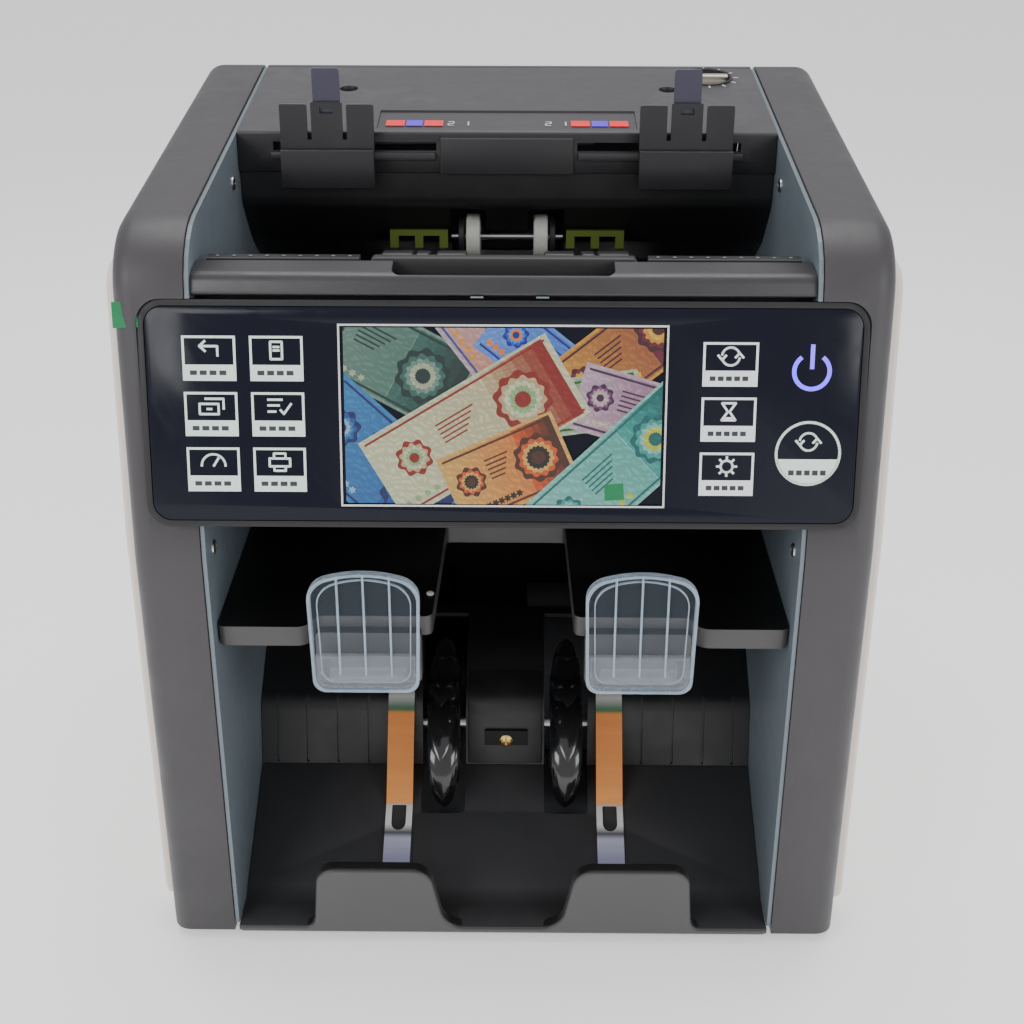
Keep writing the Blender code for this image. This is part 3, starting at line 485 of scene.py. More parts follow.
# Near black, a painted shade for the screw's recess
SCREW_WELL = moulded("well_painted_shade", (0.004, 0.004, 0.004), 0.6, 0.1, 0.2)
RAIL_SHELL = moulded("rail_grain", (0.033, 0.031, 0.034), 0.34, 0.15, 0.25)
TOOTH_SHELL = moulded("tooth_grain", (0.028, 0.028, 0.029), 0.42, 0.15, 0.2)
RIM_METAL = moulded("bright_rim", (0.50, 0.50, 0.46), 0.22, 0.15, 0.05, 700.0, coat=0.5)
CHROME = metal("polished_chrome", (0.82, 0.82, 0.83), 0.06, 500.0, 0.03)
STEEL = metal("turned_steel", (0.55, 0.55, 0.56), 0.30)
ZINC = metal("zinc_plate", (0.45, 0.46, 0.48), 0.42, 500.0)
BRASS = metal("brass_screw", (0.80, 0.58, 0.22), 0.25)
KNOB_METAL = metal("satin_knob", (0.62, 0.57, 0.52), 0.32, 1400.0)

BARE_FINISH = {
    "dark_shell": DARK_SHELL, "pale_shell": PALE_SHELL, "blue_steel": LINING, "black_plastic": BLACK,
    "black_glass": GLASS, "screen": GLASS, "smoke_clear": SMOKE, "clear_plastic": CLEAR, "chrome": CHROME,
    "steel": STEEL, "zinc_sheet": ZINC, "rubber": RUBBER, "wheel_black": WHEEL, "green_pad": COMB,
    "circuit_board": BOARD,
}
for part in frame["record"]["subparts"]:
    for holder in frame["nodes"][part["node"]].material_slots:
        holder.material = BARE_FINISH[part["material_slot"]]


# -------- shell

# Side frames: a strip whose outer edge is a quarter round of radius RIM, from FRAME_IN to FRAME_OUT across
RIM = 7.5
FRAME_IN = 109.3
FRAME_OUT = 134.9
FRAME_OUTER = [(0, 0, 0), (0, 168, 60), (*TOP_FRONT, 27), (206, 318, 11.5), (244.3, 235, 40), (244.3, 0, 0)]
FRAME_INNER = [(19.6, 0, 0), (19.6, 168, 60), (31, 267.1, 10), (200.2, 297, 8), (230, 232, 30), (230, 0, 0)]
COVER_OUTLINE = [(20, 2.6, 1), (20, 168, 60), (31.4, 266.6, 9.6), (199.8, 296.5, 7.6), (229.6, 231.5, 29.6),
    (229.6, 2.6, 1)]
# Share of the outline and X of each ring of a side cover's crown
COVER_CROWN = ((1.0, FRAME_IN), (1.0, 139.8), (0.996, 141.0), (0.988, 141.8), (0.97, 142.2), (0.92, 142.4),
    (0.8, 142.5), (0.3, 142.5), (0.05, 142.5))


def frame_mesh(side):
    """Rings along the contour; across each, the outer edge is rounded: r = RIM (1 - sin t, 1 - cos t)."""
    outer = path_of(FRAME_OUTER)
    inner = path_of(FRAME_INNER)
    inward = inner - outer
    inward /= np.linalg.norm(inward, axis=1, keepdims=True)
    t = np.linspace(np.pi / 2, 0, 8)
    rounded = outer[:, None] + inward[:, None] * (RIM * MM * (1 - np.sin(t)))[:, None]
    flat = np.concatenate([inner[:, None], outer[:, None], rounded, inner[:, None]], 1)
    x = np.concatenate([[FRAME_IN, FRAME_IN], FRAME_OUT - RIM * (1 - np.cos(t)), [FRAME_OUT]]) * side * MM
    return rings_mesh(place(np.dstack([flat, np.broadcast_to(x, flat.shape[:2])]), "side"))


def make_side(side, label):
    pocket = tool(rectangle(-126.3, 126.3, -0.3, 80.5, 8.8), -14, 5.3, "panel")
    piece(f"frame_{label}", frame_mesh(side), DARK_SHELL, "dark_shell", instead=f"side_frame_{label}",
        cuts=[pocket], bevel=0.5, segments=2)
    outline = outline_of(COVER_OUTLINE, 8)
    middle = np.array((125.0, 165.0)) * MM
    crown = [(middle + (outline - middle) * share, side * x) for share, x in COVER_CROWN]
    piece(f"cover_{label}", rings_mesh(layers(crown, "side")), PALE_SHELL, "pale_shell",
        instead=f"side_cover_{label}", smooth=40)
    for index, (y, z) in enumerate(((100.7, 283.5), (14, 166.5))):
        head = [(0, 2.7), (-side * 0.5, 2.6), (-side * 0.9, 1.8), (-side * 1.05, 0.0)]
        piece(f"lining_screw_{label}_{index}", turned_mesh(head, side * 107.5, (y, z), 32), STEEL, "steel",
            cuts=cross_tools(y, z, 1.6, 0.35, *across(side, 106.0, 106.9), "side"))


both_sides(make_side)

# Top cover with guide slots, screw holes, knob well and the recessed strip of tabs; then the rear cover
KNOB_AT = (86.2, 183)
TOP_SCREW = (68, 166.5)
STRIP_RISE = 0.9
strip = np.array([(y, top_z(y) + rise) for y, rise in ((117.5, -STRIP_RISE), (139, -STRIP_RISE), (139, 3),
    (117.5, 3))]) * MM
top_cuts = [tool(rectangle(*across(s, 28, 93), 294, 297.5), 100, 130, "face") for s in (-1, 1)]
top_cuts += [tool(circle(x, y, r, steps), 280, 330, "top") for x, y, r,
    steps in ((*KNOB_AT, 10.4, 64), (-TOP_SCREW[0], TOP_SCREW[1], 3.9, 32), (*TOP_SCREW, 3.9, 32))]
top_cuts.append(tool(strip, -52, 52, "side"))
# The lid's material paints light on its up-facing top and leaves its front face dark
piece("lid", band_mesh([(114, 285.6), (114, top_z(114), 1.5), (196, top_z(196))], 2.4), LID_SHELL,
    "dark_shell", instead="top_cover", cuts=top_cuts, bevel=0.35, segments=2)
rear_cuts = [tool(rectangle(-85, -29, 20, 48, 1), 235, 250, "face")]
rear_cuts += [tool(rectangle(x, x + 5, 150, 185, 2.4), 225, 260, "face") for x in range(-60, 70, 10)]
piece("back", band_mesh([(196.4, top_z(196.4)), *FRAME_OUTER[3:5], (244.3, 2.6)], 2.4), DARK_SHELL,
    "dark_shell", instead="rear_cover", cuts=rear_cuts, smooth=25)


# -------- control panel

seat = tool(rectangle(-123.9, 123.9, 2.1, 78.1, 6.9, 12), -1, 1.5, "panel")
well = tool(rectangle(-61, 61, 5, 75, 1), -1, 6, "panel")
prism("panel_slab", rectangle(-126, 126, 0, 80.2, 8.5, 14), 0, 5, "panel", BLACK, "black_plastic",
    instead="panel_housing", cuts=[seat, well], bevel=0.8)
window = tool(rectangle(-57.2, 57.2, 7.5, 72.2, 0.6, 6), -1, 6, "panel")
prism("panel_face", rectangle(-123.7, 123.7, 2.3, 77.9, 6.7, 14), 0.1, 1.5, "panel", GLASS, "black_glass",
    instead="panel_glass", cuts=[window], bevel=0.35, segments=2)


def border(left, right, low, high, width):
    """Four mitred strips round a rectangle."""
    outer = rectangle(left, right, low, high)
    inner = rectangle(left + width, right - width, low + width, high - width)
    return [np.array([outer[i], outer[(i + 1) % 4], inner[(i + 1) % 4], inner[i]]) for i in range(4)]


# Share of a key's height that its filled label band takes
BAND = 0.36


def key(left, right, low, high, icon):
    """A key's border, its filled label band, and its icon drawn in a 12 by 8 space."""
    top = low + (high - low) * BAND
    middle = np.array(((left + right) / 2, (top + high) / 2))
    band_shape = rectangle(left + 0.8, right - 0.8, low + 0.8, top)
    return [*border(left, right, low, high, 0.85), band_shape, *[(shape + middle) * MM for shape in icon]]


def dashes(left, right, low, high, count):
    """Dark dashes that stand for a label on a key's band."""
    level = low + (high - low) * BAND / 2
    step = (right - left - 5) / count
    starts = [left + 2.5 + i * step for i in range(count)]
    return [rectangle(x, x + step * 0.72, *about(level, 0.8)) for x in starts]


def icon_of(*lines):
    return [quad for line in lines for quad in ribbon(line, 0.8)]


ICON_BACK = icon_of([(3, -2), (3, 1.4), (-3, 1.4)], [(-1.2, 3.2), (-3.2, 1.4), (-1.2, -0.4)])
ICON_SHEET = icon_of(closed([(-2, -3), (2, -3), (2, 3), (-2, 3)]), [(-1, 1.2), (1, 1.2)], [(-1, 0), (1, 0)])
ICON_STACK = icon_of(closed([(-4, -2.8), (2.6, -2.8), (2.6, 0.8), (-4, 0.8)]),
    [(-2, 2.6), (4.4, 2.6), (4.4, -1)], [(-1.4, -1), (0.2, -1)])
ICON_LIST = icon_of([(-3.5, 2.4), (1.5, 2.4)], [(-3.5, 0.4), (0.5, 0.4)], [(-3.5, -1.8), (-0.8, -1.8)],
    [(0.8, -1.2), (2, -2.6), (4.6, 1)])
ICON_GAUGE = icon_of(arc(0, -1.6, 4.2, 0, 180), [(0, -1.6), (1.8, 1.2)])
ICON_PRINT = icon_of(closed([(-3.6, -1.6), (3.6, -1.6), (3.6, 1.2), (-3.6, 1.2)]),
    [(-2, 1.2), (-2, 3), (2, 3), (2, 1.2)], [(-2, -1.6), (-2, -3.2), (2, -3.2), (2, -1.6)])
ICON_CYCLE = icon_of(arc(0, 0, 3.1, 30, 170), arc(0, 0, 3.1, 210, 350),
    [(-4.4, 0.4), (-3, -1.2), (-1.6, 0.4)], [(4.4, -0.4), (3, 1.2), (1.6, -0.4)])
ICON_GLASS = icon_of(closed([(-2.4, 3), (2.4, 3), (0.3, 0), (2.4, -3), (-2.4, -3), (-0.3, 0)]),
    [(-1.2, -2.3), (1.2, -2.3)])
ICON_GEAR = icon_of(closed(arc(0, 0, 2.1, 0, 345, 20)), *[[(2.4 * math.cos(a), 2.4 * math.sin(a)),
    (3.5 * math.cos(a), 3.5 * math.sin(a))] for a in np.radians(range(0, 360, 45))])

mint = []
white = []
dark = []
LEFT_ICONS = ((ICON_BACK, ICON_SHEET), (ICON_STACK, ICON_LIST), (ICON_GAUGE, ICON_PRINT))
for row, icons in zip(((52.1, 67.8), (32.6, 48.2), (12.8, 28.6)), LEFT_ICONS):
    for column, icon in zip(((-111.0, -92.4), (-87.6, -69.1)), icons):
        mint += key(*column, *row, icon)
        dark += dashes(*column, *row, 4)
for row, icon in zip(((51.0, 66.4), (31.6, 47.2), (12.2, 27.7)), (ICON_CYCLE, ICON_GLASS, ICON_GEAR)):
    white += key(69.0, 88.1, *row, icon)
    dark += dashes(69.0, 88.1, *row, 5)

# Restart key: a ring whose lower part is filled, with two arrows chasing in the upper part
RESTART = (106.8, 27.5)
RESTART_RADIUS = 11.6
FILLED = math.degrees(math.asin(0.41 * 2 - 1))
mint += [quad * MM for quad in ribbon(closed(arc(*RESTART, RESTART_RADIUS - 0.5, 0, 354, 60)), 0.95)]
mint.append(np.array(arc(*RESTART, RESTART_RADIUS - 0.4, 180 - FILLED, 360 + FILLED, 40)) * MM)
mint += [(quad + (RESTART[0], RESTART[1] + 4.2)) * MM for quad in ICON_CYCLE]
dark += [rectangle(RESTART[0] - 6.6 + 2.8 * i, RESTART[0] - 4.6 + 2.8 * i, 19.7, 21.5) for i in range(5)]

POWER = (106.7, 56.4)
power = [*ribbon(arc(*POWER, 6.1, 130, 410, 44), 1.5), *ribbon([(POWER[0], POWER[1] + 1.2),
    (POWER[0], POWER[1] + 9.0)], 1.5)]
corner_tab = np.array([(-134.3, 70.2), (-125.4, 70.6), (-125.8, 79.6), (-134.4, 79.2)]) * MM
screen_tab = np.array([(36.0, 10.2), (42.9, 10.6), (42.4, 16.6), (35.7, 16.0)]) * MM
for name, shapes, depth, material in (("keys_left", mint, 0.06, PRINT),
        ("keys_right", white, 0.06, PRINT_WHITE), ("key_labels", dark, 0.03, PRINT_DARK),
        ("power_sign", [quad * MM for quad in power], 0.06, VIOLET),
        ("film_corner", [corner_tab], -0.2, FILM), ("film_screen", [screen_tab], -0.15, FILM)):
    piece(name, flat_mesh(shapes, depth), material, "black_glass")


# -------- display picture

SCREEN_LOW = (-55.4, 8.6)
SCREEN_HIGH = (55.4, 70.8)


def trim_to_screen(mesh):
    """Cuts a mesh on the panel's plane along the four edges of the screen and drops what lies outside."""
    low, high = place(np.array([(*SCREEN_LOW, 0), (*SCREEN_HIGH, 0)]) * MM, "panel")
    height = Vector(high - low)
    height.x = 0
    bm = bmesh.new()
    bm.from_mesh(mesh)
    for corner, way in ((low, Vector((-1, 0, 0))), (high, Vector((1, 0, 0))), (low, -height),
            (high, height)):
        bmesh.ops.bisect_plane(bm, geom=[*bm.verts, *bm.edges, *bm.faces], plane_co=corner, plane_no=way,
            clear_outer=True)
    bm.to_mesh(mesh)
    bm.free()


def wavy(x, y, radius, lobes, depth, steps=72):
    """A rosette outline: r = radius (1 + depth cos(lobes t))."""
    t = turns(steps)
    r = radius * (1 + depth * np.cos(lobes * t))
    return np.stack([x + r * np.cos(t), y + r * np.sin(t)], 1)


def slab(left, right, low, high):
    return np.array([(left, low), (right, low), (right, high), (left, high)], float)


def mixed(first, second, share):
    return tuple(a + (b - a) * share for a, b in zip(first, second))


def blank_note(length, height, paper, ink, second, accent):
    """Shapes and colours of a blank note in its own frame: bands, borders and rosettes, no writing."""
    half = length / 2
    rise = height / 2
    shapes = [(slab(-half, half, -rise, rise), paper)]
    step = length * 0.62 / 14
    for i in range(14):
        left = -half + 1 + i * step
        shapes.append((slab(left, left + step, -rise + 1, rise - 1),
            mixed(paper, second, 0.55 * (i + 0.5) / 14)))
    step = length * 0.055
    for i in range(6):
        left = half * 0.28 + i * step
        shapes.append((slab(left, left + step, -rise + 1, rise - 1), mixed(second, ink, i / 5)))
    for level in (-rise + 1.6, rise - 2.4):
        shapes.append((slab(-half + 1.5, half - 1.5, level, level + 0.8), ink))
    for i in range(9):
        shapes.append((wavy(-half + 4 + i * length * 0.052, -rise + 4.4, 1.1, 6, 0.3, 24), accent))
    for k, (size, colour) in enumerate(((0.62, ink), (0.5, second), (0.4, paper), (0.3, accent),
            (0.18, ink))):
        shapes.append((wavy(half * 0.52, 0, rise * size, 10 + 2 * k, 0.07), colour))
        shapes.append((wavy(-half * 0.62, rise * 0.1, rise * size * 0.62, 8 + 2 * k, 0.1), colour))
    for i in range(5):
        level = rise * 0.45 - 1.7 * i
        shapes.append((slab(-half * 0.3, -half * 0.3 + length * (0.2 - 0.02 * i), level, level + 0.6), ink))
    return shapes


# Each note: middle, length, height, angle, then its paper, ink, second and accent colours
NOTES = [
    ((-43, 62), 66, 30, -28, (0.30, 0.42, 0.36), (0.02, 0.09, 0.08), (0.10, 0.26, 0.22), (0.55, 0.60, 0.45)),
    ((-44, 22), 60, 34, -42, (0.10, 0.36, 0.62), (0.01, 0.05, 0.24), (0.03, 0.20, 0.50), (0.45, 0.65, 0.80)),
    ((-2, 66), 62, 28, -52, (0.62, 0.55, 0.62), (0.05, 0.16, 0.45), (0.80, 0.28, 0.06), (0.85, 0.45, 0.10)),
    ((16, 58), 50, 22, -38, (0.25, 0.42, 0.80), (0.01, 0.04, 0.40), (0.02, 0.20, 0.70), (0.90, 0.40, 0.05)),
    ((42, 62), 56, 26, 38, (0.75, 0.46, 0.10), (0.16, 0.01, 0.05), (0.30, 0.03, 0.10), (0.85, 0.60, 0.12)),
    ((26, 44), 44, 20, 8, (0.55, 0.66, 0.50), (0.03, 0.22, 0.06), (0.20, 0.45, 0.18), (0.75, 0.72, 0.40)),
    ((46, 42), 42, 24, -16, (0.66, 0.52, 0.60), (0.14, 0.03, 0.14), (0.36, 0.16, 0.32), (0.70, 0.62, 0.55)),
    ((-10, 36), 76, 32, 31, (0.72, 0.74, 0.56), (0.42, 0.05, 0.03), (0.66, 0.55, 0.36), (0.45, 0.60, 0.35)),
    ((2, 21), 44, 27, 24, (0.78, 0.55, 0.22), (0.18, 0.06, 0.02), (0.75, 0.20, 0.03), (0.05, 0.03, 0.02)),
    ((40, 20), 70, 27, 43, (0.38, 0.68, 0.62), (0.01, 0.26, 0.26), (0.12, 0.50, 0.46), (0.68, 0.70, 0.10)),
]


def display_mesh():
    """Each note turned by its angle, moved to its place, cut to the screen and laid just above the last."""
    points = []
    faces = []
    colours = []
    for at, length, height, angle, *palette in NOTES:
        c, s = math.cos(math.radians(angle)), math.sin(math.radians(angle))
        for shape, colour in blank_note(length, height, *palette):
            moved = (shape @ np.array([(c, s), (-s, c)]) + np.array(at)) * MM
            faces.append(list(range(len(points), len(points) + len(moved))))
            points += layers([(moved, 1.29 - 0.003 * len(faces))], "panel")[0].tolist()
            colours += [(*(channel ** 1.55 for channel in colour), 1.0)] * len(moved)
    mesh = bpy.data.meshes.new("picture")
    mesh.from_pydata(points, [], faces)
    tint = mesh.color_attributes.new("tint", "FLOAT_COLOR", "CORNER")
    tint.data.foreach_set("color", np.array(colours, np.float32).ravel())
    trim_to_screen(mesh)
    return mesh


def picture_material():
    """Lit picture: painted colours under two crossing families of fine wavy lines."""
    material, tree, shader, where = start_material("display_light")
    lines = [node(tree, "TexWave", {"Vector": where, "Scale": scale, "Distortion": distortion,
        "Detail": detail, "Detail Scale": fine}, wave_type="BANDS", bands_direction=way).outputs["Fac"]
        for scale, distortion, detail, fine, way in ((190.0, 9.0, 1.0, 1.4, "DIAGONAL"),
        (120.0, 14.0, 2.0, 0.8, "Z"))]
    both = math_node(tree, "MULTIPLY", *lines)
    level = math_node(tree, "ADD", math_node(tree, "MULTIPLY", both, 0.32), 0.80)
    tint = node(tree, "Attribute", {}, attribute_name="tint").outputs["Color"]
    fill(tree, shader, {"Emission Color": scaled(tree, tint, level), "Emission Strength": 1.0,
        "Base Color": (0.01, 0.01, 0.01, 1.0), "Roughness": 0.3})
    return material


prism("display_block", rectangle(-57, 57, 7.7, 72), 1.3, 4.6, "panel", GLASS, "screen", instead="display")
piece("display_picture", display_mesh(), picture_material(), "screen")
piece("display_edge", flat_mesh(border(-57.1, 57.1, 7.6, 72.1, 0.7), 0.05), WHITE_MARK, "black_glass")


# -------- pockets

SHELF_FRONT = (6.0, 137.2)
SHELF_SLOPE = math.radians(4.35)


def shelf_mesh():
    """The shelf's plan set at a slope: y' = y cos a - z sin a, z' = y sin a + z cos a."""
    wing = [(-INNER, 0, 3), (-71.7, 0, 6), (-71.7, 8, 4), (-27, 8, 3), (-25, 80, 2), (25, 80, 2), (27, 8, 3),
        (71.7, 8, 4), (71.7, 0, 6), (INNER, 0, 3), (INNER, 85, 0), (-INNER, 85, 0)]
    x, y = outline_of(wing, 6).T
    c, s = math.cos(SHELF_SLOPE), math.sin(SHELF_SLOPE)
    rings = [np.column_stack([x, y * c - z * MM * s + SHELF_FRONT[0] * MM + FRONT_Y,
        y * s + z * MM * c + SHELF_FRONT[1] * MM + FOOT]) for z in (-8.4, 0.0)]
    return rings_mesh(np.array(rings))


shelf_joins = []
for s in (-1, 1):
    shelf_joins.append(tool(rectangle(*about(s * STOPPER_X, 20), 112, 133, 1.5), 9.5, 16, "face"))
    for end in (-1, 1):
        lug = outline_of([(11, 114.5, 0), (11, 121.5, 0), (2.2, 121.5, 3), (2.2, 114.5, 3)])
        shelf_joins.append(tool(lug, *about(s * STOPPER_X + end * 16, 1.4), "side"))
# The shelf's material paints shade on its up-facing top
piece("pocket_shelf", shelf_mesh(), SHELF_SHELL, "black_plastic", instead="reject_shelf", joins=shelf_joins,
    bevel=1.4, segments=4)


def stopper_outline(middle, shrink=0.0):
    half = 20.8 - shrink
    low = 114.2 + shrink
    return outline_of([(middle - half + 1, low, 5), (middle + half - 1, low, 5),
        (middle + half, 159.5 - shrink, 9), (middle, 165.5 - shrink, 50 - 5 * shrink),
        (middle - half, 159.5 - shrink, 9)], 8)


def make_stopper(side, label):
    middle = side * STOPPER_X
    kind = "clear_plastic", f"stopper_{label}"
    prism(f"stopper_pane_{label}", stopper_outline(middle), -0.3, 0.7, "face", CLEAR, *kind,
        instead=f"stopper_{label}", bevel=0.3, segments=2)
    for name, outer, inner, low, high in (("rim", 0.0, 1.1, -2.6, 0.7), ("seam", 3.2, 3.6, -0.9, 0.2)):
        hoop = hoop_mesh(stopper_outline(middle, outer), stopper_outline(middle, inner), low, high)
        piece(f"stopper_{name}_{label}", hoop, CLEAR_EDGE, *kind, smooth=50)
    prism(f"stopper_foot_{label}", rectangle(*about(middle, 19), 115.6, 129.5, 1), -1.9, 0.6, "face",
        CLEAR_FOOT, *kind, bevel=0.5)
    for k, x in enumerate((-9.6, 0.0, 9.6)):
        prism(f"stopper_rib_{label}_{k}", rectangle(*about(middle + x, 0.4), 121, 162.3), -2.0, 0.2, "face",
            CLEAR_EDGE, *kind, bevel=0.2, segments=2)
    barrel = closed([(-14.2, 1.5), (-14.2, 2.6), (14.2, 2.6), (14.2, 1.5)])
    piece(f"stopper_barrel_{label}", turned_mesh(barrel, middle, HINGE, 28), CLEAR_EDGE, *kind)


both_sides(make_stopper)

# Tray with its raised lip, and the curved walls behind it with slots for the wheels
slots = [about(s * WHEEL_X, WHEEL_SLOT) for s in (-1, 1)]
piece("tray_floor", band_mesh([(-1.5, 3.6), (16.5, 4.2, 18), (69, 34.7)], 2.4, 16), TRAY_SHELL, "dark_shell",
    instead="stacker_tray", cuts=[tool(rectangle(*slot, 49, 72, 2), 0, 60, "top") for slot in slots],
    bevel=0.4, segments=2)
lip_half = [(0, 3.6, 0), (23.5, 3.6, 10), (29.5, 31.8, 9), (74.5, 31.8, 7.5), (76.5, 3.6, 4),
    (INNER, 3.6, 0)]
lip = [(-x, z, r) for x, z, r in lip_half[:0:-1]] + lip_half[1:] + [(INNER, 0.3, 0), (-INNER, 0.3, 0)]
# The lip's material paints shade on its up-facing top
prism("tray_lip", outline_of(lip, 12), -2.0, 4.5, "face", LIP_SHELL, "dark_shell", bevel=2.3, segments=6)
groove = band([(112, 83.8), (100, 80.1, 25), (77.2, 62.6, 12), (70.6, 35.0)], 3.0, 16)
wall_cuts = [tool(rectangle(*slot, 20, 95), 58, 117.5, "face") for slot in slots]
wall_cuts += [tool(groove, *about(x, 0.55), "side") for x in (-100, -87, -73.5, -60, 60, 73.5, 87, 100)]
piece("pocket_wall", band_mesh([(122, 86), (100, 79.2, 25), (76.3, 62, 12), (69.2, 33.8)], -1.8, 16),
    WALL_SHELL, "dark_shell", instead="stacker_back", cuts=wall_cuts)
piece("reject_wall", band_mesh([(108, 196), (93, 168, 30), (92.6, 145)], -1.8, 16), BLACK, "black_plastic",
    instead="reject_back", cuts=[tool(rectangle(*slot, 140, 190, 2), 60, 115, "face") for slot in slots],
    bevel=0.2, segments=1)
prism("wall_step", band([(95.5, 74.3), (76.3, 62, 12), (69.7, 35.5)], 0.9, 14), -16.2, 16.2, "side",
    WALL_SHELL, "dark_shell", bevel=0.3)
# A near-black plate standing just in front of the wall: painted shade for the screw's recess
prism("screw_recess", rectangle(-9, 10, 41.5, 51, 0.8), 70.8, 71.8, "face", SCREW_WELL, "dark_shell")
screw = turned_mesh([(0, 3.0), (0.6, 2.9), (1.1, 2.0), (1.2, 0.0)], 0, (0, 0), 32)
piece("wall_screw", carried(screw, 0.5, 70.8, 46.2, -90, "Z"), BRASS, "steel",
    cuts=cross_tools(0.5, 46.2, 1.9, 0.4, 60, 70.1, "face"))

# Height share and colour of the painted reflection on the note strips: copper-orange on the slope, cool
# below the notch, dark on top
STRIP_REFLECTION_STOPS = (
    (0.0, (0.62, 0.55, 0.50)), (0.10, (0.60, 0.54, 0.50)), (0.12, (0.14, 0.14, 0.22)),
    (0.22, (0.28, 0.28, 0.36)), (0.24, (0.05, 0.05, 0.06)), (0.27, (0.45, 0.44, 0.44)),
    (0.335, (0.40, 0.38, 0.36)), (0.35, (0.42, 0.17, 0.05)), (0.60, (0.34, 0.125, 0.035)),
    (0.85, (0.31, 0.11, 0.03)), (0.87, (0.02, 0.07, 0.03)), (0.94, (0.25, 0.25, 0.24)),
    (1.0, (0.03, 0.03, 0.03)))


def strip_reflection_material():
    """Polished strip with a painted reflection: its colours by height, also made to glow, under drawn lines.
    """
    material, tree, shader, where = start_material("strip_painted_reflection")
    height = node(tree, "SeparateXYZ", {0: where}).outputs["Z"]
    share = node(tree, "MapRange", {"Value": height, "From Min": FOOT + 0.004, "From Max": FOOT + 0.068})
    ramp = node(tree, "ValToRGB", {"Fac": share.outputs[0]})
    stops = ramp.color_ramp.elements
    for at, colour in STRIP_REFLECTION_STOPS[1:-1]:
        stops.new(at).color = (*colour, 1.0)
    stops[0].color = (*STRIP_REFLECTION_STOPS[0][1], 1.0)
    stops[-1].color = (*STRIP_REFLECTION_STOPS[-1][1], 1.0)
    texture = node(tree, "Group", {"Place": where, "Lines": 300.0}, node_tree=DRAWN).outputs
    level = math_node(tree, "ADD", math_node(tree, "MULTIPLY", texture["Height"], 0.3), 0.85)
    lit = scaled(tree, ramp.outputs["Color"], level)
    # The painted reflection is also given emission, so it glows
    fill(tree, shader, {"Base Color": lit, "Emission Color": lit, "Emission Strength": 0.75, "Metallic": 0.6,
        "Roughness": 0.15})
    return material


STRIP_PAINTED_REFLECTION = strip_reflection_material()


def make_strip(side, label):
    middle = side * 45.5
    left, right = about(middle, 3.1)
    notch = outline_of([(left, 41.0, 3), (right, 41.0, 3), (right, 51.5, 0.5), (left, 51.5, 0.5)])
    bent = band_mesh([(80, 67.2), (74.5, 60.3, 4), (52, 26.2, 6), (15, 5.2)], -0.5, 12, *about(middle, 5.7))
    piece(f"strip_{label}", bent, STRIP_PAINTED_REFLECTION, "chrome", instead=f"note_strip_{label}",
        cuts=[tool(notch, 0, 60, "top")])


both_sides(make_strip)


# -------- wheels and rollers

def vane_mesh(axis, middle, radius, vanes, hub, sweep):
    """Vanes on a hub: reach = hub + (R - hub) s, angle = sweep s^1.15, half width = w sqrt(1 - s^2.4)."""
    width = 14.0
    s = np.linspace(0, 1, 15)
    t = turns(12)
    reach = hub + (radius - hub) * s
    thick = 1.9 * (1 - s) ** 0.8 + 0.3
    half = width / 2 * np.sqrt(np.clip(1 - s ** 2.4, 0.004, 1))
    profile = closed([(-width / 2, SHAFT), (-width / 2, hub), (-width / 2 + 1, hub + 1),
        (width / 2 - 1, hub + 1), (width / 2, hub), (width / 2, SHAFT)])
    parts = []
    for k in range(vanes):
        angle = 2 * np.pi * k / vanes + sweep * s ** 1.15
        centre = np.stack([reach * np.cos(angle), reach * np.sin(angle)], 1)
        along = np.gradient(centre, axis=0)
        along /= np.linalg.norm(along, axis=1, keepdims=True)
        across_vane = thick[:, None] * np.sin(t)
        y = centre[:, :1] - along[:, 1:] * across_vane
        z = centre[:, 1:] + along[:, :1] * across_vane
        x = middle + half[:, None] * np.cos(t)
        parts.append(rings_mesh(place(np.stack([y + axis[0], z + axis[1], x], -1) * MM, "side")))
    parts.append(turned_mesh(profile, middle, axis, 40))
    bm = bmesh.new()
    for part in parts:
        bm.from_mesh(part)
        bpy.data.meshes.remove(part)
    whole = bpy.data.meshes.new("wheel")
    bm.to_mesh(whole)
    bm.free()
    return whole


def ribbed(length, radius, pitch, depth):
    """A roller profile with square grooves every pitch."""
    points = [(-length / 2, SHAFT)]
    x = -length / 2
    while x < length / 2 - 0.5 * pitch:
        points += [(x, radius - 0.4), (x + 0.4, radius), (x + pitch * 0.7, radius),
            (x + pitch * 0.7, radius - depth), (x + pitch * 0.98, radius - depth)]
        x += pitch
    return closed([*points, (length / 2, radius - depth), (length / 2, SHAFT)])


IDLER_DISC = closed([(-4.6, SHAFT), (-4.6, 6.6), (-4.4, 9.0), (-4.0, 9.4), (1.0, 9.4), (1.4, 9.0),
                     (1.5, 5.0), (1.5, SHAFT)])
IDLER_TYRE = closed([(2.1, SHAFT), (2.1, 8.6), (2.5, 9.1), (4.3, 9.1), (4.6, 8.7), (4.6, SHAFT)])


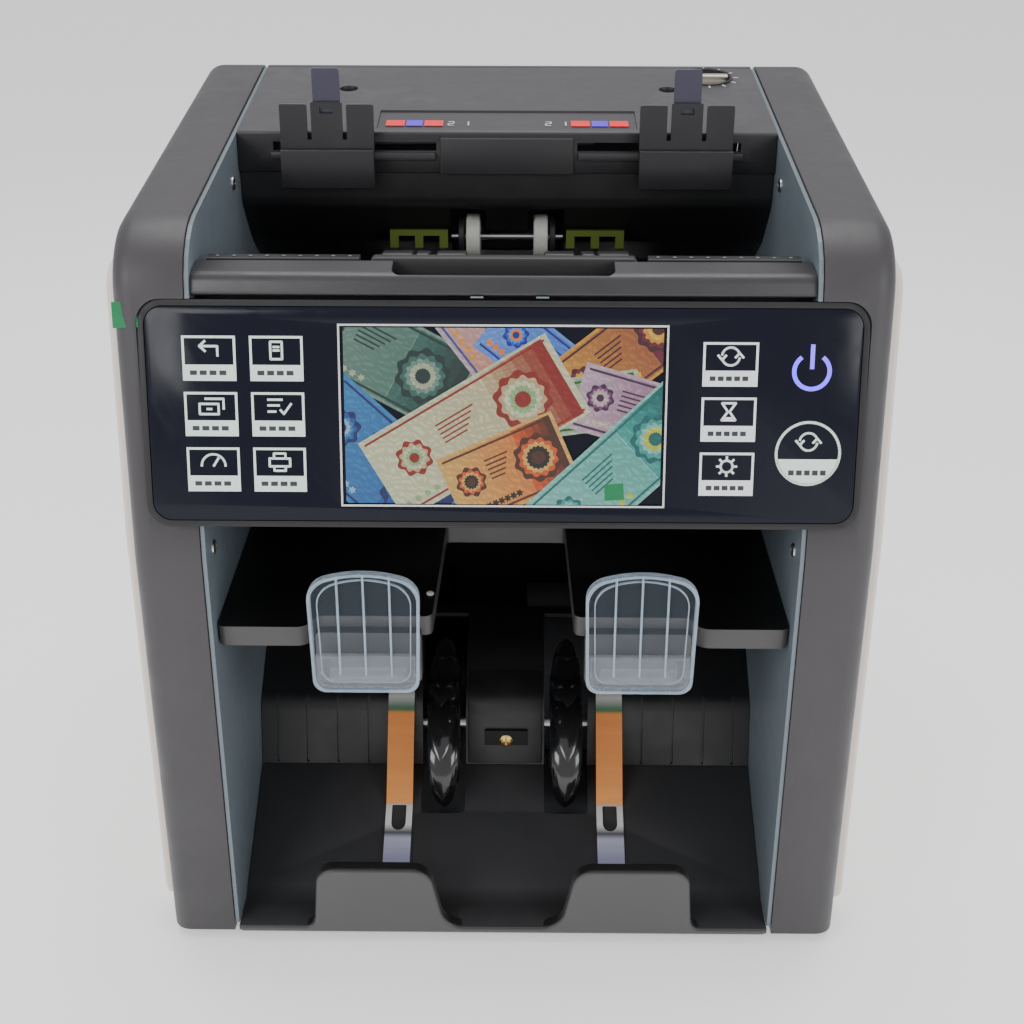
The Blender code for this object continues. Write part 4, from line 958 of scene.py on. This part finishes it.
def make_wheels(side, label):
    for name, kind in (("stacker", ((78.6, 50.6), side * WHEEL_X, 37.4, 10, 11.0, 1.15)),
            ("reject", ((104, 172), side * WHEEL_X, 29.9, 8, 9.0, 1.0))):
        piece(f"vanes_{name}_{label}", vane_mesh(*kind), WHEEL, "wheel_black", f"{name}_rotor",
            instead=f"{name}_wheel_{label}", smooth=50)
    piece(f"feed_tyre_{label}", turned_mesh(ribbed(34, 14.5, 3.4, 1.1), side * FEED_X, FEED_AXIS, 72),
        ROLLER, "rubber", "feed_rotor", instead=f"feed_roller_{label}")
    for name, profile, material, slot, instead in (("rim", IDLER_DISC, RIM_METAL, "chrome",
            f"idler_roller_{label}"), ("tyre", IDLER_TYRE, BLACK, "rubber", "")):
        turned = turned_mesh([(side * a, r) for a, r in profile], side * 15.5, IDLER_AXIS, 56)
        piece(f"idler_{name}_{label}", turned, material, slot, "idler_rotor", instead=instead)


both_sides(make_wheels)


# -------- hopper, guides and top

rail = [(11.2, 262.7, 1.2), (13.5, 270, 5), (25.6, 272.2, 1.2), (25.6, 254, 0), (18.5, 254, 0),
    (18.5, 262.7, 0)]
finger_hollow = outline_of([(-38.5, 14.2, 3), (38.5, 14.2, 3), (38.5, 34, 0), (-38.5, 34, 0)])
prism("hopper_rail", outline_of(rail), -INNER, INNER, "side", RAIL_SHELL, "dark_shell", instead="hopper_cap",
    cuts=[tool(finger_hollow, 267.0, 290, "top")], bevel=0.5)
plate_cuts = [tool(rectangle(*about(s * FEED_X, 18), 87, 124), 220, 262, "top") for s in (-1, 1)]
piece("hopper_plate", band_mesh([(26.8, 268.2), (138, 232)], 2.0), BLACK, "black_plastic",
    instead="hopper_floor", cuts=plate_cuts, bevel=0.3, segments=2)
window = outline_of([(-23.5, 247, 0), (-23.5, 270, 1.5), (-8.5, 270, 1.5), (-8.5, 259.2, 1), (8.5, 259.2, 1),
    (8.5, 270, 1.5), (23.5, 270, 1.5), (23.5, 247, 0)], 6)
piece("hopper_wall", band_mesh([(116.3, 285), (116.3, 272.5, 8), (133, 253.9, 25), (152, 241.5)], -2.0, 16),
    WALL_SHELL, "black_plastic", instead="hopper_back", cuts=[tool(window, 100, 160, "face")])

# Ledges behind the rail with rows of light dots, the bar and catches between them, and the floor's blocks
LEDGE = outline_of([(26.2, 264, 0), (31.5, 264, 0), (31.5, 272.6, 0.6), (26.2, 272.4, 0.6)])
TOOTH = outline_of([(72, 252.5, 0), (74, 262.6, 2.5), (86, 260.8, 2.5), (88.5, 248.0, 0)], 5)
BAR = outline_of([(-50, 264, 0), (50, 264, 0), (46, 272.6, 1.5), (-46, 272.6, 1.5)])
dots = [rectangle(*about(s * (54 + 5.8 * i), 0.6), 27.6, 29.4, 0.4, 3) for s in (-1, 1) for i in range(9)]
piece("light_dots", flat_mesh(dots, 272.66, "top"), LINING, "dark_shell")
prism("rail_bar", BAR, 26.2, 31.5, "face", TOOTH_SHELL, "dark_shell", bevel=0.6)
for label, x in (("left", -9.0), ("right", 13.5)):
    prism(f"rail_catch_{label}", rectangle(*about(x, 2.2), 262.5, 263.0), 10.95, 11.6, "face", LINING,
        "dark_shell")
# The folded guides' fins, from a guide's middle
FINS = [(-18.4, 294, 0), (18.4, 294, 0), (18.4, 312.7, 0.8), (7.8, 312.7, 0.8), (7.8, 299, 0.4),
    (6.1, 299, 0.4), (6.1, 313.5, 0.6), (-6.1, 313.5, 0.6), (-6.1, 299, 0.4), (-7.8, 299, 0.4),
    (-7.8, 312.7, 0.8), (-18.4, 312.7, 0.8)]


def make_hopper_side(side, label):
    """Ledge, floor blocks, flange rail, top screw, and a guide of fins, a foot, a stem and a finger."""
    prism(f"rail_ledge_{label}", LEDGE, *across(side, 50.5, 104), "side", WALL_SHELL, "dark_shell")
    for k, (near, far) in enumerate(((15.0, 26.4), (29.2, 34.3), (35.5, 47.4))):
        prism(f"floor_tooth_{label}_{k}", TOOTH, *across(side, near, far), "side", TOOTH_SHELL,
            "black_plastic", bevel=0.6)
    prism(f"flange_rail_{label}", rectangle(*across(side, 28.5, 94), 290.6, 293.6, 0.5), 112.4, 114.2,
        "face", RAIL_SHELL, "dark_shell", bevel=0.3, segments=2)
    head = lathe_mesh([(-4.5, 3.4), (-3.2, 3.4), (-2.8, 3.0), (-2.7, 0.02)], 32)
    piece(f"top_screw_{label}", on_cover(head, side * TOP_SCREW[0], TOP_SCREW[1]), STEEL, "steel")
    middle = side * 70.6
    kind = "smoke_clear", f"guide_{label}"
    prism(f"guide_fins_{label}", outline_of([(middle + x, z, r) for x, z, r in FINS], 4), 108.6, 110.6,
        "face", SMOKE, *kind, instead=f"note_guide_{label}", smooth=15,
        cuts=[tool(rectangle(*about(middle, 2.6), 309.2, 311.6, 0.4), 100, 120, "face")])
    prism(f"guide_foot_{label}", rectangle(105.5, 111.0, 280.5, 295.6, 0.5, 3), *about(middle, 18.3), "side",
        SMOKE, *kind, smooth=40)
    prism(f"guide_stem_{label}", rectangle(*about(middle, 9), 294.6, 296.9), 110.4, 121.5, "face", SMOKE,
        *kind, smooth=15)
    prism(f"guide_finger_{label}", rectangle(*about(middle, 5.3), 297.5, 326, 0.9), 110.7, 112.2, "face",
        FINGER, *kind, smooth=15)


both_sides(make_hopper_side)
# Uses the lid's material, with painted light on its up-facing faces
prism("flange_middle", rectangle(-26.5, 26.5, 285.0, 299.2, 0.8), 112.6, 114.3, "face", LID_SHELL,
    "dark_shell", bevel=0.4, segments=2)


def numeral(strokes, x):
    """Ribbons of a numeral of straight strokes, 2 by 4.2 mm, with its left at x on the strip of tabs."""
    return [quad * MM for stroke in strokes for quad in ribbon([(x + a * 2.0, 123.4 + b * 2.1) for a,
        b in stroke], 0.6)]


ONE = (((1, 1), (1, 2)), ((1, 0), (1, 1)))
TWO = (((0, 2), (1, 2)), ((1, 1), (1, 2)), ((0, 1), (1, 1)), ((0, 0), (0, 1)), ((0, 0), (1, 0)))
red = [rectangle(*about(s * x, 3.8), 122.2, 128.6) for s in (-1, 1) for x in (45.0, 29.5)]
violet = [rectangle(*about(s * 37.3, 3.3), 122.2, 128.6) for s in (-1, 1)]
digits = [quad for strokes, x in ((TWO, -22.6), (ONE, -16.6), (ONE, 22.6), (TWO, 16.6))
    for quad in numeral(strokes, x - 1.0)]
ticks = [quad * MM for a in np.radians(np.arange(-150, 211, 30)) for quad in ribbon([np.array(KNOB_AT)
    + r * np.array((math.cos(a), math.sin(a))) for r in (11.6, 13.6)], 0.7)]
for name, shapes, lift, material in (("lens_red", red, -0.55, RED_TAB),
        ("lens_violet", violet, -0.55, VIOLET_TAB), ("strip_digits", digits, -0.7, WHITE_MARK),
        ("knob_ticks", ticks, 0.06, WHITE_MARK)):
    piece(name, flat_mesh(shapes, lift, "cover"), material, "dark_shell")

# Feed gap knob: a dished disc whose skirt's radius is 9.7 + 0.12 cos(60 t), a grip bar and a collar
knurl = 0.12 * np.cos(60 * turns(240))
disc = lathe_mesh([(-7, 9.65), (-6.8, 9.7 + knurl), (-1.6, 9.7 + knurl), (-1.2, 9.3), (-1.0, 8.6),
    (-1.5, 7.6), (-1.5, 0.02)], 240)
piece("knob_disc", on_cover(disc, *KNOB_AT), KNOB_METAL, "steel", "knob", instead="gap_knob", smooth=40)
grip_plan = outline_of([(-9.2, -1.7, 0.6), (9.2, -1.7, 0.6), (9.2, 1.7, 0.6), (-9.2, 1.7, 0.6)], 3)
grip = rings_mesh(np.stack([np.column_stack([grip_plan, np.full(len(grip_plan), z * MM)])
    for z in (-2.0, 1.4)]))
piece("knob_grip", on_cover(grip, *KNOB_AT), KNOB_METAL, "steel", "knob", bevel=0.5)
collar = lathe_mesh(closed([(-2, 10.1), (0.5, 10.1), (0.9, 10.5), (0.5, 11.2), (-2, 11.2)]), 64,
    capped=False)
piece("knob_collar", on_cover(collar, *KNOB_AT), BLACK, "dark_shell")


# -------- rear

piece("inlet_rim", hoop_mesh(rectangle(-87, -27, 18, 50, 2), rectangle(-84.2, -29.8, 20.8, 47.2, 1), 244.3,
    245.0), BLACK, "black_plastic", smooth=20)
prism("rear_sill", rectangle(237.0, 243.8, 0.4, 4.4, 0.6, 3), -INNER, INNER, "side", BLACK, "dark_shell")
for k, (x, z) in enumerate(((-70.0, 36.6), (-75.2, 31.4), (-64.8, 31.4))):
    prism(f"inlet_pin_{k}", rectangle(*about(x, 1.0), *about(z, 3.2), 0.3, 3), 229, 239.5, "face", CHROME,
        "chrome", bevel=0.2, segments=1)
ROCKER_LEAN = math.radians(-8)
rocker = outline_of([(-8, -9, 0.6), (-8, 9, 0.6), (1.8, 9, 0.8), (0, 0, 2.5), (1.8, -9, 0.8)], 5)
rocker = rocker @ np.array([(math.cos(ROCKER_LEAN), math.sin(ROCKER_LEAN)),
    (-math.sin(ROCKER_LEAN), math.cos(ROCKER_LEAN))]) + np.array((242.1, 34.0)) * MM
prism("rocker_key", rocker, -51.3, -33.7, "side", BLACK, "black_plastic", "rocker", instead="power_rocker",
    bevel=0.3, segments=2)
for k, (x, z) in enumerate(((-98, 12), (98, 12), (-98, 215), (98, 215), (-98, 120), (98, 120))):
    head = turned_mesh([(0, 3.4), (0.5, 3.4), (1.0, 2.9), (1.0, 1.2), (0.4, 0.0)], 0, (0, 0), 28)
    piece(f"rear_screw_{k}", carried(head, x, 243.8, z, 90, "Z"), STEEL, "steel")

# White sensor button under the shelf's edge beside the left stopper
button = turned_mesh([(0, 1.5), (0.6, 1.5), (1.0, 0.9), (1.0, 0.0)], 0, (0, 0), 28)
piece("sensor_button", carried(button, -28.6, 30.0, 139.1, -90, "Y"), RIM_METAL, "chrome")


# -------- floor, light and camera

def backdrop(name, size, colour, rough, glow):
    """A level plane with a plain paper-like surface, for what is not part of the machine."""
    material, tree, shader, _ = start_material("pale_" + name)
    fill(tree, shader, {"Base Color": colour, "Roughness": rough, "Emission Color": colour,
        "Emission Strength": glow})
    mesh = bpy.data.meshes.new(name)
    mesh.from_pydata([(x * size / 2, y * size / 2, 0) for x, y in ((-1, -1), (1, -1), (1, 1), (-1, 1))], [],
        [(0, 1, 2, 3)])
    mesh.materials.append(material)
    linked(name, mesh)


backdrop("floor", 24.0, (0.86, 0.86, 0.86, 1.0), 0.6, 0.55)
world = bpy.data.worlds.new("studio")
world.use_nodes = True
fill(world.node_tree, world.node_tree.nodes["Background"], {"Color": (0.90, 0.90, 0.92, 1.0),
    "Strength": 0.8})
bpy.context.scene.world = world


def soft_light(name, location, aim, width, height, power):
    """A rectangular lamp at a place, turned to face a point."""
    data = bpy.data.lights.new(name, "AREA")
    data.shape = "RECTANGLE"
    data.size = width
    data.size_y = height
    data.energy = power
    lamp = linked(name, data)
    lamp.location = location
    lamp.rotation_euler = (Vector(aim) - Vector(location)).to_track_quat("-Z", "Y").to_euler()


soft_light("overhead", (0.0, 0.15, 1.5), (0, 0.0, 0.1), 1.2, 0.8, 14.0)
soft_light("front_left", (-0.9, -1.1, 0.75), (0, 0, 0.12), 0.7, 0.5, 7.0)
soft_light("front_right", (1.0, -1.0, 0.6), (0, 0, 0.15), 0.6, 0.5, 5.0)

TILT, TURN, ROLL = math.radians(23.88), math.radians(-0.413), math.radians(0.161)
forward = Vector((math.sin(TURN) * math.cos(TILT), math.cos(TURN) * math.cos(TILT), -math.sin(TILT)))
right = Vector((math.cos(TURN), -math.sin(TURN), 0.0))
up = right.cross(forward)
rolled_right = right * math.cos(ROLL) + up * math.sin(ROLL)
rolled_up = up * math.cos(ROLL) - right * math.sin(ROLL)
lens = bpy.data.cameras.new("camera")
lens.lens = 50.977
lens.sensor_width = 36.0
lens.clip_start = 0.01
camera = linked("camera", lens)
camera.matrix_world = Matrix((rolled_right, rolled_up, -forward)).transposed().to_4x4()
camera.location = (0.0067, -0.5923, 0.4004)
bpy.context.scene.camera = camera
